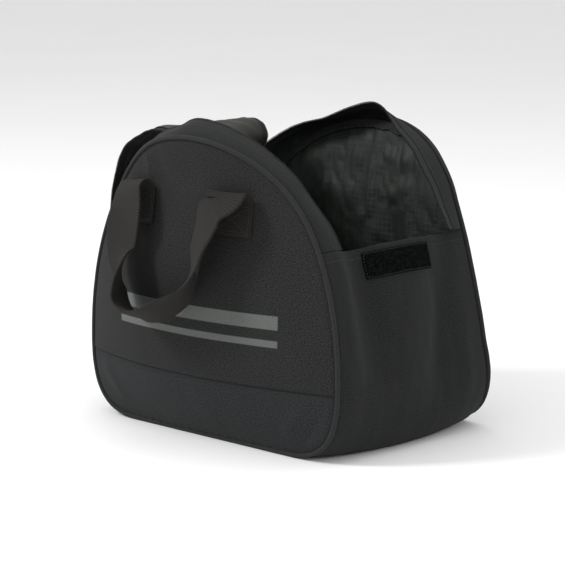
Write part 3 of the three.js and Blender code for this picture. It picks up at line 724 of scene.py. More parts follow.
@dataclass(frozen=True)
class Tape:
    """Zip tape, binding or thread: a fine rib along the piece."""

    name: str
    colour: tuple[float, float, float]
    rib: float = 0.9
    relief: float = 0.15
    roughness: float = 0.78

    def build(self) -> bpy.types.Material:
        """Makes the material.

        Returns:
            The material, with all its nodes.
        """
        s = Shader(self.name)
        flat = s.coordinates((1, 1, 1))
        ribs = s.add("TexWave", {"Vector": flat, "Scale": WAVE_PERIOD / (self.rib * MM), "Distortion": 0.7,
                                 "Detail": 2.0}, bands_direction="DIAGONAL").outputs[1]
        grain = s.noise(flat, 1 / (1.1 * MM), 3.0)
        mixed = s.maths("ADD", s.maths("MULTIPLY", ribs, 0.5), s.maths("MULTIPLY", grain, 0.7))
        shade = s.ramp(mixed, 0.25, 0.9)
        base = s.blend(shade, tone(self.colour, 0.6), tone(self.colour, 1.35))
        normal = s.bump(shade, self.relief, 0.7)
        return s.finish(Base_Color=base, Roughness=self.roughness, Normal=normal, Specular_IOR_Level=0.3)


@dataclass(frozen=True)
class Nylon:
    """Moulded nylon of zip coils and polyester thread."""

    name: str
    colour: tuple[float, float, float]
    roughness: float

    def build(self) -> bpy.types.Material:
        """Makes the material.

        Returns:
            The material, with all its nodes.
        """
        s = Shader(self.name)
        place = s.add("TexCoord").outputs["Object"]
        wear = s.ramp(s.noise(place, 1 / (3 * MM), 2.0), 0.3, 0.7)
        base = s.blend(wear, tone(self.colour, 0.8), tone(self.colour, 1.25))
        return s.finish(Base_Color=base, Roughness=self.roughness, Specular_IOR_Level=0.4)


class Wardrobe:
    """Every finish of the bag, made once."""

    def __init__(self) -> None:
        """Builds the materials."""
        stripes = (Print(-106, 114, 131, 145), Print(-106, 114, 113, 120))
        self.panel = WovenCloth("panel_weave", (0.0175, 0.0182, 0.0178), prints=stripes).build()
        self.plain = WovenCloth("back_weave", (0.0175, 0.0182, 0.0178)).build()
        self.lower = WovenCloth("lower_weave", (0.0185, 0.0198, 0.0205)).build()
        self.gusset = WovenCloth("gusset_weave", (0.0145, 0.0152, 0.0152)).build()
        # The piping's colour is lighter than the panel cloth's: painted highlight along the raised cord.
        self.piping = WovenCloth("piping_highlight_weave", (0.023, 0.0236, 0.0232), fleck=0.35, thread=0.6).build()
        # The same lining fabric in two tones: the copy inside the bag and on every inner face is about half as
        # bright as the flap's, painted shade of the bag's inside.
        self.lining = Lining("lining_nylon", (0.0095, 0.0122, 0.0102)).build()
        self.flap_lining = Lining("flap_lining_nylon", (0.0185, 0.0195, 0.0165)).build()
        self.tape = Tape("zip_tape_weave", (0.0105, 0.012, 0.0108)).build()
        self.binding = Tape("binding_tape", (0.014, 0.016, 0.0138), rib=1.6, relief=0.3).build()
        self.patch = Pile("loop_pile", (0.0042, 0.0052, 0.0052)).build()
        self.hooks = Pile("hook_pile", (0.0042, 0.005, 0.005), tuft=0.9).build()
        self.webbing = Webbing("handle_webbing", (0.0188, 0.0174, 0.0154)).build()
        self.coil = Nylon("coil_nylon", (0.008, 0.0085, 0.008), 0.42).build()
        self.thread = Nylon("sewing_thread", (0.024, 0.025, 0.024), 0.6).build()


def put(mesh: bpy.types.Mesh, name: str, materials: Sequence[bpy.types.Material]) -> bpy.types.Object:
    """Places a finished mesh in the scene as a piece of the bag.

    Args:
        mesh: the mesh, in the frame's metres.
        name: the piece's name.
        materials: its materials, by material index.

    Returns:
        The piece's object.
    """
    piece = bpy.data.objects.new(name, mesh)
    bpy.context.scene.collection.objects.link(piece)
    for material in materials:
        mesh.materials.append(material)
    mesh.polygons.foreach_set("use_smooth", [True] * len(mesh.polygons))
    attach(piece, BODY)
    LOG.info("%s: %d faces", name, len(mesh.polygons))
    return piece


def to_mesh(bm: bmesh.types.BMesh, name: str) -> bpy.types.Mesh:
    """Writes a bmesh to a new mesh and frees it.

    Args:
        bm: the finished bmesh.
        name: name of the mesh.

    Returns:
        The mesh.
    """
    mesh = bpy.data.meshes.new(name)
    bm.to_mesh(mesh)
    bm.free()
    return mesh


def make_sheet(name: str, surface: Surface, cells: tuple[int, int], wall: float,
               materials: Sequence[bpy.types.Material]) -> bpy.types.Object:
    """Makes a cloth wall on a surface.

    Args:
        name: the piece's name.
        surface: the wall's middle surface.
        cells: number of cells along each coordinate.
        wall: thickness in mm.
        materials: the outer finish, and the inner one where it differs.

    Returns:
        The piece's object.
    """
    bm = bmesh.new()
    bmesh.ops.create_grid(bm, x_segments=cells[0], y_segments=cells[1], size=1.0)
    verts = list(bm.verts)
    bm.verts.index_update()
    share = (np.array([v.co[:2] for v in verts]) + 1) / 2
    u = surface.u[0] + (surface.u[1] - surface.u[0]) * share[:, 0]
    v = surface.v[0] + (surface.v[1] - surface.v[0]) * share[:, 1]
    flat = surface.texture(u, v) * MM
    layer = bm.loops.layers.uv.new("cloth")
    for face in bm.faces:
        for loop in face.loops:
            loop[layer].uv = flat[loop.vert.index]
    for vert, point in zip(verts, surface.place(u, v) * MM):
        vert.co = point
    if surface.outward < 0:
        bmesh.ops.reverse_faces(bm, faces=bm.faces)
    bmesh.ops.remove_doubles(bm, verts=bm.verts, dist=1e-6)
    piece = put(to_mesh(bm, name), name, materials)
    solid = piece.modifiers.new("wall", "SOLIDIFY")
    solid.thickness = wall * MM
    solid.offset = 0
    solid.material_offset = 1 if len(materials) > 1 else 0
    return piece


def make_stitches(name: str, lines: Sequence[tuple[np.ndarray, np.ndarray]], thread: bpy.types.Material,
                  pitch: float = 3.4, length: float = 2.5,
                  girth: float = 0.42) -> bpy.types.Object:
    """Makes rows of stitches, each one a small flattened bead along its line.

    Args:
        name: the piece's name.
        lines: points and normals of each seam line, in mm.
        thread: the thread's material.
        pitch: distance between stitches.
        length: length of a stitch.
        girth: thickness of the thread.

    Returns:
        The piece's object.
    """
    bm = bmesh.new()
    for points, normals in lines:
        run = np.concatenate([[0], np.cumsum(np.linalg.norm(np.diff(points, axis=0), axis=1))])
        count = max(2, int(run[-1] / pitch))
        for at in (np.arange(count) + 0.5) * run[-1] / count:
            ends = [np.array([np.interp(at + d, run, points[:, k]) for k in range(3)])
                    for d in (-length / 2, 0, length / 2)]
            up = Vector([np.interp(at, run, normals[:, k]) for k in range(3)]).normalized()
            along = Vector(ends[2] - ends[0])
            if along.length < length / 2:
                continue
            along.normalize()
            side = up.cross(along).normalized()
            axes = Matrix((along * length / 2, side * girth, up * girth * 0.6)).transposed().to_4x4()
            axes.translation = Vector(ends[1])
            bmesh.ops.create_icosphere(bm, subdivisions=1, radius=1.0, matrix=Matrix.Scale(MM, 4) @ axes)
    return put(to_mesh(bm, name), name, [thread])


def make_coil(name: str, points: np.ndarray, normals: np.ndarray, nylon: bpy.types.Material,
              radius: float = 1.15, pitch: float = 1.7, wire: float = 0.42) -> bpy.types.Object:
    """Makes a zip's coil as one long helix.

    Args:
        name: the piece's name.
        points: the tape's edge, about 1 mm apart.
        normals: the tape's normals there.
        nylon: the coil's material.
        radius: radius of the helix.
        pitch: length of a turn.
        wire: radius of the monofilament.

    Returns:
        The piece's object.
    """
    run = np.concatenate([[0], np.cumsum(np.linalg.norm(np.diff(points, axis=0), axis=1))])
    steps = 7
    at = np.linspace(0, run[-1], int(run[-1] / pitch) * steps)
    centre, up = (np.stack([np.interp(at, run, a[:, k]) for k in range(3)], 1) for a in (points, normals))
    along = np.gradient(centre, axis=0)
    across = np.cross(along, up)
    across /= np.linalg.norm(across, axis=1)[:, None]
    angle = 2 * np.pi * np.arange(len(at)) / steps
    helix = centre + radius * (np.cos(angle)[:, None] * across + 0.85 * np.sin(angle)[:, None] * up)
    curve = bpy.data.curves.new(name, "CURVE")
    curve.dimensions = "3D"
    curve.bevel_depth = wire * MM
    curve.bevel_resolution = 0
    curve.use_fill_caps = True
    line = curve.splines.new("POLY")
    line.points.add(len(helix) - 1)
    line.points.foreach_set("co", np.hstack([helix * MM, np.ones((len(helix), 1))]).ravel())
    maker = bpy.data.objects.new(name + "_line", curve)
    bpy.context.scene.collection.objects.link(maker)
    mesh = bpy.data.meshes.new_from_object(maker.evaluated_get(bpy.context.evaluated_depsgraph_get()))
    bpy.data.objects.remove(maker)
    mesh.name = name
    mesh.materials.clear()
    return put(mesh, name, [nylon])


@dataclass
class Panel:
    """A domed panel: the front above or below its cross seam, the back, or the back's lining."""

    name: str
    side: Side
    low: float
    high: float
    offset: float = 0.0
    creases: Sequence[Crease] = ()
    crumple: float = 0.0
    seed: float = 3.0

    def place(self, u: np.ndarray, v: np.ndarray) -> np.ndarray:
        """Places points of the panel.

        Args:
            u: places from -1 to 1 across the panel.
            v: lengths along the outline.

        Returns:
            The points, one row each.
        """
        across = u * (1.25 - 0.25 * u * u)
        x, z, nx, nz = FORM.outline(v)
        x = np.maximum(x - nx * FORM.tucked, 0) * across
        z = z - nz * FORM.tucked
        flat = np.stack([x, np.zeros_like(x), z], 1)
        edge = FORM.edge_distance(x, z)
        away = 1 - np.exp(-edge / 26)
        relief = away * (1.5 * soft_noise(flat, 85, self.seed) + 0.5 * soft_noise(flat, 32, self.seed + 5))
        relief += 0.4 * np.exp(-edge / 11) * soft_noise(flat, 9, self.seed + 9)
        relief -= PANEL_DIP * np.exp(-edge / DIP_REACH)
        for crease in self.creases:
            relief += crease.relief(x, z)
        if self.crumple:
            relief = -self.crumple * away * np.abs(
                soft_noise(flat * (1.6, 1, 0.7), 38, self.seed)
                + 0.6 * soft_noise(flat * (1.4, 1, 0.8), 15, self.seed + 2)
            )
        out = self.side.value
        y = FORM.face_y(self.side, x, z) + out * (self.offset + relief)
        return np.stack([x, y, z], 1)

    def surface(self) -> Surface:
        """Gives the panel as a surface.

        Returns:
            The surface.
        """
        def cloth(u: np.ndarray, v: np.ndarray) -> np.ndarray:
            """Flat coordinates of the panel."""
            return self.place(u, v)[:, (0, 2)]
        return Surface(self.place, (-1, 1), (self.low, self.high), -float(self.side.value), cloth)

    def build(self, cells: tuple[int, int], wall: float, materials: Sequence[bpy.types.Material],
              slot: Slot) -> bpy.types.Object:
        """Makes the panel.

        Args:
            cells: number of cells across and up.
            wall: thickness in mm.
            materials: outer and inner finish.
            slot: the record's material slot; not used.

        Returns:
            The piece's object.
        """
        return make_sheet(self.name, self.surface(), cells, wall, materials)


@dataclass
class Shell:
    """The two panels with their lining and piped seams."""

    finishes: Wardrobe
    piping_steps: int = 420
    piping_sides: int = 12
    front_creases: Sequence[Crease] = (
        Crease((-72, 292), (-66, 258), 7, 1.6),
        Crease((-58, 296), (-40, 262), 9, -1.2),
        Crease((-108, 214), (-70, 190), 10, -1.6),
        Crease((28, 218), (10, 170), 16, -1.8),
        Crease((82, 214), (98, 150), 14, 1.3),
        Crease((150, 62), (112, 24), 7, 1.7),
        Crease((160, 48), (134, 14), 5, -1.3),
        Crease((-152, 60), (-118, 22), 8, 1.5),
        Crease((-60, 16), (30, 24), 10, 1.2),
    )

    def seam_lip(self) -> tuple[Crease, Crease]:
        """Makes the creases along the front's cross seam.

        Returns:
            The ridge above the seam and the dip below it.
        """
        reach = FORM.half_width + 40
        return (Crease((-reach, FORM.lower_seam + 3), (reach, FORM.lower_seam + 3), 2.4, 1.0),
                Crease((-reach, FORM.lower_seam - 1.5), (reach, FORM.lower_seam - 1.5), 3.0, -1.5))

    def build(self) -> None:
        """Makes the panels, the lining and both pipings."""
        done = self.finishes
        flat, seam, crown = FORM.base_flat / 2, FORM.run_at(FORM.lower_seam), FORM.crown
        lip, dip = self.seam_lip()
        gap = FORM.seam_gap / 2
        upper = Panel("front_panel_cloth", Side.FRONT, seam + gap, crown, creases=(*self.front_creases, lip))
        lower = Panel("front_lower_cloth", Side.FRONT, flat, seam - gap, creases=(*self.front_creases, dip))
        back = Panel("back_panel_cloth", Side.BACK, flat, crown, seed=21.0)
        inside = -FORM.cloth / 2 - FORM.face_gap - LINING_WALL / 2
        lining = Panel("back_lining_cloth", Side.BACK, flat, crown, offset=inside, crumple=4.0, seed=33.0)
        for panel, cells, cloth, node in (
            (upper, (150, 130), done.panel, "front_panel"),
            (lower, (150, 60), done.lower, "front_lower_panel"),
            (back, (130, 140), done.plain, "back_panel"),
        ):
            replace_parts(panel.build(cells, FORM.cloth, [cloth, done.lining], Slot.PANEL), node)
        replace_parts(lining.build((150, 160), LINING_WALL, [done.lining], Slot.LINING), "back_lining")
        for side in Side:
            self.build_piping(side)

    def build_piping(self, side: Side) -> None:
        """Makes the corded seam of one side as a closed ring.

        Args:
            side: the panel that the seam goes round.
        """
        name = f"{side.name.lower()}_piping"
        q = np.linspace(0, 2 * FORM.crown, self.piping_steps, endpoint=False)
        x, z, nx, nz = FORM.outline(q)
        y = FORM.seam_y(side, z)
        bm = bmesh.new()
        bmesh.ops.create_grid(bm, x_segments=self.piping_steps, y_segments=self.piping_sides, size=1.0)
        bm.verts.index_update()
        share = (np.array([v.co[:2] for v in bm.verts]) + 1) / 2
        at = np.rint(share[:, 0] * self.piping_steps).astype(int) % self.piping_steps
        angle = 2 * np.pi * share[:, 1]
        flat = np.stack([share[:, 0] * 2 * FORM.crown, share[:, 1] * 2 * np.pi * FORM.piping], 1) * MM
        layer = bm.loops.layers.uv.new("cloth")
        for face in bm.faces:
            for loop in face.loops:
                loop[layer].uv = flat[loop.vert.index]
        line = np.stack([x, y, z], 1)
        radius = FORM.piping * (0.97 + 0.05 * soft_noise(line, 14, 8.0))[at]
        low = np.maximum(-nz[at], 0)
        for k, vert in enumerate(list(bm.verts)):
            i = at[k]
            out, along = radius[k] * math.cos(angle[k]), radius[k] * math.sin(angle[k])
            out = min(out, FORM.piping) if low[k] < 0.9 else min(out, FORM.piping - 0.3)
            point = line[i] + (nx[i] * out, along, nz[i] * out)
            vert.co = Vector(point) * MM
        bmesh.ops.remove_doubles(bm, verts=bm.verts, dist=1e-6)
        bmesh.ops.recalc_face_normals(bm, faces=bm.faces)
        piece = put(to_mesh(bm, name + "_cord"), name + "_cord", [self.finishes.piping])
        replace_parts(piece, name)


@dataclass
class Gusset:
    """The side and base band with its folds, its hems and the loop patch."""

    finishes: Wardrobe
    cells: tuple[int, int] = (330, 110)
    hem_width: float = 11.0
    patch_length: float = 91.0
    patch_width: float = 27.0
    patch_front: float = -56.0
    patch_drop: float = 6.0
    patch_wall: float = 1.8

    def place(self, u: np.ndarray, v: np.ndarray) -> np.ndarray:
        """Places points of the gusset.

        Args:
            u: lengths along the outline.
            v: shares across the depth.

        Returns:
            The points, one row each.
        """
        x, z, nx, nz = FORM.outline(u)
        front = FORM.seam_y(Side.FRONT, z) + FORM.tucked
        back = FORM.seam_y(Side.BACK, z) - FORM.tucked
        y = front + (back - front) * v
        swell = FORM.gusset_swell(x, z, nx, nz, v)
        spot = np.stack([x, y, z], 1)
        edge = np.minimum(v, 1 - v) * (back - front)
        away = 1 - np.exp(-edge / 16)
        upright = 1 - np.maximum(0, -nz)
        stretched = np.stack([x * 1.5, y * 1.7, z * 0.6], 1)
        swell += upright * away * (1.5 * soft_noise(stretched, 42, 4.0) + 0.7 * soft_noise(stretched, 17, 7.0))
        swell += 0.35 * np.exp(-edge / 9) * soft_noise(spot, 8, 2.0)
        swell -= GUSSET_DIP * np.exp(-edge / DIP_REACH) * upright
        down = FORM.run_at(FORM.hem) - np.abs(u)
        swell += 0.55 * (1 / (1 + np.exp((down - self.hem_width) * 1.6))) * away
        room = np.where(nz < 0, z / np.maximum(-nz, 1e-6) - FORM.cloth / 2, np.inf)
        swell = np.minimum(swell, room)
        return np.stack([x + nx * swell, y, z + nz * swell], 1)

    def cloth_uv(self, u: np.ndarray, v: np.ndarray) -> np.ndarray:
        """Flat coordinates of the gusset."""
        return np.stack([v * FORM.depth, u], 1)

    def surface(self) -> Surface:
        """The gusset as a surface."""
        end = FORM.run_at(FORM.hem)
        return Surface(self.place, (-end, end), (0.0, 1.0), -1.0, self.cloth_uv)

    def share_at(self, u: float, y: float) -> float:
        """Finds the share across the gusset at which it reaches a depth.

        Args:
            u: length along the outline.
            y: the depth.

        Returns:
            The share.
        """
        z = float(FORM.outline(np.array([u]))[1][0])
        front = float(FORM.seam_y(Side.FRONT, z)) + FORM.tucked
        back = float(FORM.seam_y(Side.BACK, z)) - FORM.tucked
        return (y - front) / (back - front)

    def build(self) -> None:
        """Makes the gusset, its hem stitches and the loop patch."""
        done = self.finishes
        surface = self.surface()
        piece = make_sheet("gusset_cloth", surface, self.cells, FORM.cloth, [done.gusset, done.lining])
        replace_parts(piece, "gusset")
        end = FORM.run_at(FORM.hem)
        lines = []
        for side in (1, -1):
            u = side * (end - self.hem_width + 1.5)
            shares = np.linspace(0.02, 0.98, 220)
            us = np.full_like(shares, u)
            normal = self.outward(us, shares)
            lines.append((self.place(us, shares) + normal * (FORM.cloth / 2), normal))
        make_stitches("hem_stitches", lines, done.thread)
        self.build_patch()

    def outward(self, u: np.ndarray, v: np.ndarray) -> np.ndarray:
        """Works out the gusset's outward unit normals.

        Args:
            u: lengths along the outline.
            v: shares across the depth.

        Returns:
            The normals, one row each.
        """
        along = self.place(u + 0.4, v) - self.place(u - 0.4, v)
        across = self.place(u, v + 0.002) - self.place(u, v - 0.002)
        n = np.cross(across, along)
        n /= np.linalg.norm(n, axis=1)[:, None]
        spot = self.place(u, v)
        inward = np.einsum("ij,ij->i", n, spot - (0, 0, 120)) < 0
        n[inward] *= -1
        return n

    def build_patch(self) -> None:
        """Makes the loop patch with its sewn border."""
        done = self.finishes
        end = FORM.run_at(FORM.hem) - self.patch_drop
        low = FORM.cloth / 2 + FORM.face_gap

        def spot(u: np.ndarray, v: np.ndarray, lift: float) -> tuple[np.ndarray, np.ndarray]:
            """Places points over the gusset.

            Args:
                u: lengths along the piece.
                v: lengths across it.
                lift: height over the gusset's middle surface.

            Returns:
                The points and their normals.
            """
            at = end - v
            share = np.array([self.share_at(a, b) for a, b in zip(at, self.patch_front + u)])
            n = self.outward(at, share)
            return self.place(at, share) + n * lift, n

        def place(u: np.ndarray, v: np.ndarray) -> np.ndarray:
            """Places points.

            Args:
                u: lengths along the piece.
                v: lengths across it.

            Returns:
                The points, one row each.
            """
            base, n = spot(u, v, low + self.patch_wall / 2)
            inside = np.minimum(np.minimum(u, self.patch_length - u), np.minimum(v, self.patch_width - v))
            pile = 0.5 * soft_noise(base, 1.6, 5.0) + 0.5 * soft_noise(base, 5.0, 6.0)
            raised = np.where(inside > 2.2, 0.35 + 0.45 * pile, -0.35)
            return base + n * raised[:, None]

        surface = Surface(place, (0, self.patch_length), (0, self.patch_width), -1.0)
        piece = make_sheet("loop_patch_pile", surface, (180, 56), self.patch_wall - 0.4, [done.patch])
        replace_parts(piece, "loop_patch")
        inset = 1.2
        far, deep = self.patch_length - inset, self.patch_width - inset
        corners = [(inset, inset), (far, inset), (far, deep), (inset, deep), (inset, inset)]
        lines = []
        for a, b in zip(corners[:-1], corners[1:]):
            t = np.linspace(0, 1, 60)
            u, v = a[0] + (b[0] - a[0]) * t, a[1] + (b[1] - a[1]) * t
            lines.append(spot(u, v, low + self.patch_wall - 0.2))
        make_stitches("patch_stitches", lines, done.thread, pitch=2.9, length=2.2, girth=0.35)


@dataclass
class Mouth:
    """The cloth strips over the dome with their zip tapes, and the binding inside."""

    finishes: Wardrobe
    strip: float = 23.0
    tape: float = 10.0
    tape_wall: float = 1.2
    binding: float = 9.0
    binding_wall: float = 1.6

    def place(self, side: Side, seed: float) -> Place:
        """Makes the function that places points of one side's band.

        Args:
            side: the panel that the band is sewn to.
            seed: seed of its waves.

        Returns:
            The function of a length along the mouth and a distance from the seam.
        """
        start = FORM.run_at(FORM.hem)
        length = 2 * (FORM.crown - start)

        def spot(u: np.ndarray, v: np.ndarray) -> np.ndarray:
            """Places points.

            Args:
                u: lengths along the piece.
                v: lengths across it.

            Returns:
                The points, one row each.
            """
            x, z, nx, nz = FORM.outline(start + u)
            tilt = FORM.tilt(side, u / length)
            root = FORM.inset + FORM.cloth * np.maximum(0, -np.sin(tilt))
            line = np.stack([x, z, np.zeros_like(x)], 1)
            free = np.clip(v / (self.strip + self.tape), 0, 1)
            sway = free**1.5 * (1.1 * soft_noise(line, 34, seed) + 0.6 * soft_noise(line, 13, seed + 4))
            body = 0.7 * np.sin(np.pi * np.clip(v / self.strip, 0, 1)) - 0.5 * bell(v - self.strip, 1.6)
            lift = sway + body - STRIP_DIP * np.exp(-np.maximum(v, 0) / STRIP_DIP_REACH)
            depth = root + v * np.cos(tilt) - lift * np.sin(tilt)
            out = v * np.sin(tilt) + lift * np.cos(tilt)
            y = FORM.seam_y(side, z) - side.value * depth
            ends = np.minimum(u, length - u)
            rise = FORM.seam_gap * np.exp(-ends / 2) + np.maximum(0, 1.2 - ends) * 0.3
            return np.stack([x + nx * out, y, z + nz * out + rise], 1)

        return spot

    def build(self) -> None:
        """Makes both strips, their tapes, coils and stitches, and the inside binding."""
        done = self.finishes
        length = 2 * (FORM.crown - FORM.run_at(FORM.hem))
        edge = self.strip + FORM.seam_gap
        lines = []
        for side, name in ((Side.FRONT, "front"), (Side.BACK, "rear")):
            place = self.place(side, 11.0 if side is Side.FRONT else 17.0)
            outward = float(side.value)
            cloth = Surface(place, (0, length), (-FORM.tuck, self.strip), outward)
            piece = make_sheet(f"{name}_strip_cloth", cloth, (260, 18), FORM.cloth, [done.gusset, done.lining])
            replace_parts(piece, f"{name}_top_strip")
            tape = Surface(place, (0, length), (edge, self.strip + self.tape - 1.0), outward)
            piece = make_sheet(f"{name}_tape_weave", tape, (260, 8), self.tape_wall, [done.tape])
            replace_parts(piece, f"{name}_zip_tape")
            run = [(1.0, self.strip + self.tape - 0.6), (length - 1.0, self.strip + self.tape - 0.6)]
            make_coil(f"{name}_coil", *tape.trace(run, 0.2), done.coil)
            inset = self.strip - 2.2
            lines.append(cloth.trace([(2, inset), (length - 2, inset)], FORM.cloth / 2))
        make_stitches("strip_stitches", lines, done.thread)
        self.build_binding()

    def build_binding(self) -> None:
        """Makes the crinkled binding over the rear seam inside the dome."""
        start = FORM.run_at(FORM.hem) + 28
        length = 2 * (FORM.crown - start)
        face = FORM.cloth / 2 + 2 * FORM.face_gap + 1.0 + self.binding_wall / 2

        def place(u: np.ndarray, v: np.ndarray) -> np.ndarray:
            """Places points.

            Args:
                u: lengths along the piece.
                v: lengths across it.

            Returns:
                The points, one row each.
            """
            x, z, nx, nz = FORM.outline(start + u)
            line = np.stack([x, z, v * 2], 1)
            inset = FORM.inset + v + 1.4 * (v / self.binding) * soft_noise(line, 7, 14.0)
            x, z = x - nx * inset, z - nz * inset
            crinkle = 1.0 + soft_noise(line, 5, 12.0) + 0.8 * soft_noise(line, 12, 13.0)
            y = FORM.face_y(Side.BACK, x, z) - face - 1.3 * crinkle * (0.35 + 0.65 * v / self.binding)
            return np.stack([x, y, z], 1)

        surface = Surface(place, (0, length), (0, self.binding), 1.0)
        piece = make_sheet("seam_binding_tape", surface, (300, 10), self.binding_wall, [self.finishes.binding])
        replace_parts(piece, "back_seam_binding")


@dataclass
class Flap:
    """The folded flap with its lining, zips and hook patch."""

    finishes: Wardrobe
    width: float = 144.0
    front: float = -84.0
    outreach: float = 14.4
    crest: float = 308.0
    end: float = 34.0
    roll: float = 62.0
    tape: float = 10.0
    tape_wall: float = 1.2
    patch_length: float = 91.0
    patch_width: float = 27.0
    patch_margin: float = 12.0
    patch_wall: float = 1.8
    # right share, up share, down share
    section: Sequence[Row] = (
        (0.0, 0.0, 0.0), (0.2, 0.25, 0.0), (0.52, 0.5, 0.0), (0.88, 0.7, 0.0), (1.0, 0.84, 0.0),
        (0.86, 0.97, 0.0), (0.56, 1.0, 0.0), (0.2, 0.93, 0.0), (-0.35, 0.77, 0.0), (-0.72, 0.46, 0.0),
        (-0.95, 0.1, 0.0), (-1.0, 0.0, 0.3), (-0.98, 0.0, 0.65), (-0.92, 0.0, 1.0),
    )
    line: np.ndarray = field(init=False, repr=False)
    face: np.ndarray = field(init=False, repr=False)
    length: float = field(init=False)

    def __post_init__(self) -> None:
        """Lays out the flap's section from the hinge over the roll to the hanging end."""
        hem_x = -float(FORM.outline(np.array([FORM.run_at(FORM.hem)]))[0][0])
        outreach = FORM.half_width + hem_x + self.outreach
        rows = []
        for right, up, down in self.section:
            x = hem_x + (right * self.roll if right > 0 else right * outreach)
            z = FORM.hem + FORM.seam_gap + up * (self.crest - FORM.hem) - down * (FORM.hem - self.end)
            rows.append((x, z))
        self.line = spline(np.array(rows), 500)
        steps = np.linalg.norm(np.diff(self.line, axis=0), axis=1)
        self.length = float(steps.sum())
        slope = np.gradient(self.line, axis=0)
        slope /= np.linalg.norm(slope, axis=1)[:, None]
        self.face = np.stack([slope[:, 1], -slope[:, 0]], 1)

    def place(self, offset: float) -> Place:
        """Makes the function that places points of one of the flap's layers.

        Args:
            offset: distance of the layer to the lining's side.

        Returns:
            The function of a length along the section and a depth.
        """
        def spot(u: np.ndarray, v: np.ndarray) -> np.ndarray:
            """Places points.

            Args:
                u: lengths along the piece.
                v: lengths across it.

            Returns:
                The points, one row each.
            """
            at = np.clip(u / self.length, 0, 1) * (len(self.line) - 1)
            steps = np.arange(len(self.line))
            x, z = (np.interp(at, steps, self.line[:, k]) for k in (0, 1))
            nx, nz = (np.interp(at, steps, self.face[:, k]) for k in (0, 1))
            flat = np.stack([u, v * 0.8, np.zeros_like(u)], 1)
            pinned = np.clip(u / 40, 0, 1)
            rough = pinned * (1.5 * soft_noise(flat, 40, 2.0) + 0.9 * soft_noise(flat, 15, 6.0))
            bend = bell(u - 0.3 * self.length, 55)
            diagonal = np.stack([u + 1.3 * v, (u - v) * 0.25, np.zeros_like(u)], 1)
            rough += 1.6 * bend * soft_noise(diagonal, 11, 9.0)
            free = (v - self.front) / self.width
            sag = -1.8 * pinned * bell(free - 0.5, 0.35)
            rough += sag * bend
            out = offset + rough
            return np.stack([x + nx * out, v, z + nz * out], 1)
        return spot

    def build(self) -> None:
        """Makes the cloth, the lining, both zips and the hook patch."""
        done = self.finishes
        low, high = self.front + self.tape, self.front + self.width - self.tape
        cloth = Surface(self.place(0.0), (0, self.length), (low, high), 1.0)
        piece = make_sheet("flap_cloth", cloth, (240, 70), FORM.cloth, [done.gusset])
        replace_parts(piece, "top_flap")
        inner = FORM.cloth / 2 + FORM.seam_gap + LINING_WALL / 2
        lining = Surface(self.place(inner), (0, self.length), (low, high), -1.0)
        piece = make_sheet("flap_lining_cloth", lining, (240, 70), LINING_WALL, [done.flap_lining])
        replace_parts(piece, "flap_lining")
        gap = FORM.seam_gap
        for name, near, far in (("front", low - gap, low - self.tape + 1),
                                ("rear", high + gap, high + self.tape - 1)):
            band = Surface(self.place(0.0), (0, self.length), (min(near, far), max(near, far)), 1.0)
            piece = make_sheet(f"flap_{name}_tape", band, (240, 8), self.tape_wall, [done.tape])
            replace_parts(piece, f"flap_{name}_zip")
            make_coil(f"flap_{name}_coil", *band.trace([(1, far), (self.length - 1, far)], 0.0), done.coil)
        lines = [cloth.trace([(4, v), (self.length - 4, v)], FORM.cloth / 2)
                 for v in (low + 2.4, high - 2.4)]
        make_stitches("flap_stitches", lines, done.thread)
        start = self.front + (self.width - self.patch_length) / 2
        stop = self.length - self.patch_margin
        lift = inner + LINING_WALL / 2 + FORM.face_gap + self.patch_wall / 2
        hooks = Surface(self.place(lift), (stop - self.patch_width, stop),
                        (start, start + self.patch_length), -1.0)
        piece = make_sheet("hook_patch_pile", hooks, (40, 110), self.patch_wall, [done.hooks])
        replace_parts(piece, "hook_patch")


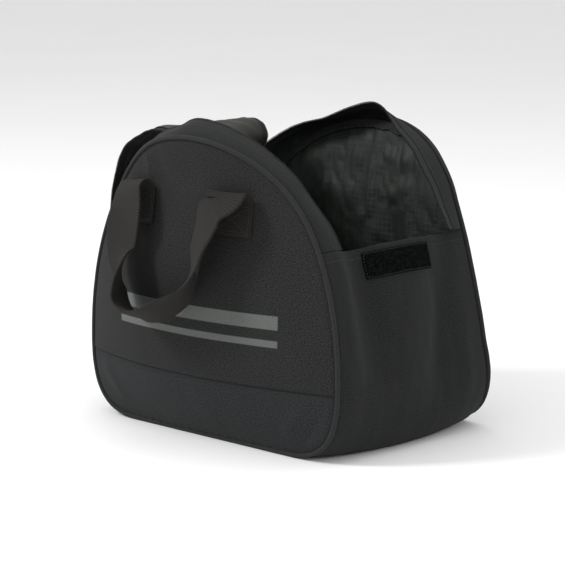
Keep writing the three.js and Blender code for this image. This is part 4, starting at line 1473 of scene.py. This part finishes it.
@dataclass
class Handle:
    """A webbing handle, sewn to its panel at both ends and hanging in a loop."""

    finishes: Wardrobe
    side: Side
    shift: float
    width: float = 50.0
    wall: float = 1.8
    spread: float = 134.0
    top: float = 264.0
    tab: float = 44.0
    drop: float = 134.0
    tab_gap: float = 1.15
    stand: float = 16.0
    # across share, out share, drop share, turn in degrees, rise share
    run: Sequence[Row] = (
        (-0.49, 0.4, 0.22, -8, 0.06), (-0.53, 0.37, 0.4, -4, 0), (-0.53, 0.35, 0.55, -12, 0),
        (-0.48, 0.43, 0.67, -40, 0), (-0.45, 0.5, 0.8, -58, 0.06), (-0.44, 0.5, 0.88, -62, 0.16),
        (-0.373, 0.49, 0.953, -58, 0.19), (-0.248, 0.49, 0.991, -54, 0.29), (-0.103, 0.48, 0.971, -55, 0.45),
        (0.02, 0.49, 0.917, -58, 0.52), (0.142, 0.48, 0.841, -59, 0.54), (0.225, 0.46, 0.772, -57, 0.48),
        (0.275, 0.44, 0.703, -51, 0.36), (0.309, 0.43, 0.627, -45, 0.22), (0.32, 0.42, 0.545, -38, 0.12),
        (0.33, 0.43, 0.465, -33, 0.04), (0.353, 0.44, 0.373, -30, 0), (0.4, 0.46, 0.26, -24, 0),
        (0.45, 0.46, 0.13, -14, 0),
    )
    steps: int = 420
    smoothings: int = 30
    turn_scale: float = 0.05
    rise_scale: float = 10.0
    centre: np.ndarray = field(init=False, repr=False)
    across: np.ndarray = field(init=False, repr=False)
    length: float = field(init=False)

    def panel_y(self, x: float, z: float) -> float:
        """Depth of the panel that carries the handle."""
        return float(FORM.face_y(self.side, np.array([x]), np.array([z]))[0])

    def tab_rows(self, end: int, fade: float, rise: float) -> list[Row]:
        """Works out a sewn end and its fold.

        Args:
            end: -1 for the left end and 1 for the right one.
            fade: how far the fold leaves the panel's slope.
            rise: rise of the webbing's right edge at the fold.

        Returns:
            Centre, heading and rise, from the bottom of the tab up.
        """
        x = self.shift + end * self.spread / 2
        flat = FORM.cloth / 2 + self.tab_gap + self.wall / 2
        outward = self.side.value
        rows = []
        bends = ((self.tab, 0.0), (self.tab / 2, 0.0), (self.stand / 2, 0.0), (0.0, 0.5),
                 (self.stand / 2, 1.0))
        for down, share in bends:
            z = self.top - down
            reach = self.width / 2
            slope = (self.panel_y(x + reach, z) - self.panel_y(x - reach, z)) / self.width
            turn = -outward * math.degrees(math.atan(slope)) * (1 - share * fade)
            stand = outward * (flat + share * self.stand) / math.hypot(slope, 1)
            rows.append((x - slope * stand, self.panel_y(x, z) + stand, z, turn, rise * share))
        return rows

    def __post_init__(self) -> None:
        """Works the webbing's middle line and the direction of its width out of the rows."""
        outward = self.side.value
        flat = FORM.cloth / 2 + self.tab_gap + self.wall / 2
        rows = self.tab_rows(-1, 0.0, 0.3)
        for across, out, drop, turn, rise in self.run:
            x, z = self.shift + across * self.spread, self.top - drop * self.drop
            rows.append((x, self.panel_y(x, z) + outward * (flat + out * self.width), z, turn, rise))
        rows += self.tab_rows(1, 1.0, 0.0)[::-1]
        table = np.array(rows)
        scaled = [table[:, :3], table[:, 3:4] * self.turn_scale, table[:, 4:5] * self.rise_scale]
        fine = spline(np.hstack(scaled), self.steps)
        order = np.arange(self.steps)
        hold = np.clip(np.minimum(order, order[::-1]) / 50 - 0.6, 0, 1)[:, None]
        for _ in range(self.smoothings):
            near = (np.roll(fine, 1, 0) + np.roll(fine, -1, 0)) / 2
            near[0], near[-1] = fine[0], fine[-1]
            fine = fine + (near - fine) * hold * 0.5
        centre = fine[:, :3]
        turn = np.radians(fine[:, 3] / self.turn_scale) * -outward
        width = np.stack([np.cos(turn), np.sin(turn), fine[:, 4] / self.rise_scale], 1)
        tangent = np.gradient(centre, axis=0)
        tangent /= np.linalg.norm(tangent, axis=1)[:, None]
        width -= tangent * np.einsum("ij,ij->i", width, tangent)[:, None]
        self.centre = centre
        self.across = width / np.linalg.norm(width, axis=1)[:, None]
        self.length = float(np.linalg.norm(np.diff(centre, axis=0), axis=1).sum())

    def place(self, u: np.ndarray, v: np.ndarray) -> np.ndarray:
        """Places points of the webbing.

        Args:
            u: lengths along the webbing.
            v: lengths across it.

        Returns:
            The points, one row each.
        """
        at = np.clip(u / self.length, 0, 1) * (len(self.centre) - 1)
        steps = np.arange(len(self.centre))
        centre = np.stack([np.interp(at, steps, self.centre[:, k]) for k in range(3)], 1)
        across = np.stack([np.interp(at, steps, self.across[:, k]) for k in range(3)], 1)
        tangent = np.gradient(self.centre, axis=0)
        tangent = np.stack([np.interp(at, steps, tangent[:, k]) for k in range(3)], 1)
        face = np.cross(tangent, across)
        face /= np.linalg.norm(face, axis=1)[:, None]
        free = np.clip(np.minimum(u, self.length - u) / 60 - 0.8, 0, 1)
        cup = free * 1.2 * ((2 * v / self.width - 1) ** 2 - 0.33)
        line = np.stack([u, v * 0.6, np.zeros_like(u)], 1)
        wave = free * 0.5 * soft_noise(line, 24, 3.0)
        return centre + across * (v - self.width / 2)[:, None] + face * (cup + wave)[:, None]

    def build(self) -> None:
        """Makes the webbing and the boxed crosses that sew it on."""
        done = self.finishes
        name = f"{self.side.name.lower()}_handle"
        outward = 1.0 if self.side is Side.FRONT else -1.0
        surface = Surface(self.place, (0, self.length), (0, self.width), outward)
        piece = make_sheet(f"{name}_webbing", surface, (300, 22), self.wall, [done.webbing])
        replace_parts(piece, name)
        low, high, near, far = 2.5, self.tab - 14, 3.5, self.width - 3.5
        lines = []
        for flip in (False, True):
            box = [(low, near), (high, near), (high, far), (low, far), (low, near), (high, far)]
            shapes = [box, [(low, far), (high, near)], [(low + 2, near), (low + 2, far)]]
            for shape in shapes:
                corners = [(self.length - u, v) for u, v in shape] if flip else shape
                points, normals = surface.trace(corners, 0.0)
                normals = normals * np.sign(normals[:, 1] * self.side.value)[:, None]
                lines.append((points + normals * self.wall / 2, normals))
        make_stitches(f"{name}_stitches", lines, done.thread, pitch=3.0, length=2.3)


@dataclass
class Studio:
    """The plain floor, the soft lights and the camera."""

    azimuth: float = 44.0
    elevation: float = 10.2
    distance: float = 2.4
    target: tuple[float, float, float] = (0.004, -0.017, 0.150)
    sensor: float = 36.0
    focal: float = 36.0 * PHOTO_SCALE * 2400 / PHOTO_PIXELS

    def build(self) -> None:
        """Makes everything round the bag."""
        self.build_floor()
        self.build_lights()
        self.build_camera()

    def build_floor(self) -> None:
        """Makes the floor as one large plain sheet."""
        bm = bmesh.new()
        bmesh.ops.create_grid(bm, x_segments=1, y_segments=1, size=20.0)
        floor = bpy.data.objects.new("floor", to_mesh(bm, "floor"))
        bpy.context.scene.collection.objects.link(floor)
        s = Shader("floor_paper")
        grain = s.noise(s.add("TexCoord").outputs["Object"], 3.0, 2.0)
        base = s.blend(grain, (0.9, 0.9, 0.9, 1), (0.93, 0.93, 0.93, 1))
        floor.data.materials.append(s.finish(Base_Color=base, Roughness=0.9))

    def build_lights(self) -> None:
        """Makes a large key from the upper left, a fill from the right, a top light and a pale surround."""
        lamps = (
            ("key", (-1.4, -2.1, 2.2), 0.7, 62.0),
            ("fill", (2.7, -0.5, 1.5), 1.0, 15.0),
            ("top", (0.2, 0.5, 2.6), 2.4, 16.0),
        )
        for name, place, size, power in lamps:
            lamp = bpy.data.lights.new(name, "AREA")
            lamp.size = size
            lamp.energy = power
            light = bpy.data.objects.new(name, lamp)
            light.location = place
            aim = Vector(self.target) - Vector(place)
            light.rotation_mode = "QUATERNION"
            light.rotation_quaternion = aim.to_track_quat("-Z", "Y")
            bpy.context.scene.collection.objects.link(light)
        world = bpy.data.worlds.new("surround")
        world.use_nodes = True
        world.node_tree.nodes["Background"].inputs[0].default_value = (1, 1, 1, 1)
        world.node_tree.nodes["Background"].inputs[1].default_value = 0.8
        bpy.context.scene.world = world
        bpy.context.scene.view_settings.view_transform = "Standard"

    def build_camera(self) -> None:
        """Makes the camera at the photograph's angle."""
        a, e = math.radians(self.azimuth), math.radians(self.elevation)
        back = Vector((math.sin(a) * math.cos(e), -math.cos(a) * math.cos(e), math.sin(e)))
        lens = bpy.data.cameras.new("camera")
        lens.sensor_width = self.sensor
        lens.lens = self.focal
        lens.clip_end = 50
        camera = bpy.data.objects.new("camera", lens)
        camera.location = Vector(self.target) + back * self.distance
        camera.rotation_mode = "QUATERNION"
        camera.rotation_quaternion = (-back).to_track_quat("-Z", "Y")
        bpy.context.scene.collection.objects.link(camera)
        bpy.context.scene.camera = camera


def main() -> None:
    """Builds the bag's sub-assemblies in order, then the studio."""
    logging.basicConfig(level=logging.INFO, format="%(name)s %(message)s")
    finishes = Wardrobe()
    Shell(finishes).build()
    Gusset(finishes).build()
    Mouth(finishes).build()
    Flap(finishes).build()
    Handle(finishes, Side.FRONT, shift=-13.0).build()
    Handle(finishes, Side.BACK, shift=0.0).build()
    Studio().build()


if __name__ == "__main__":
    main()
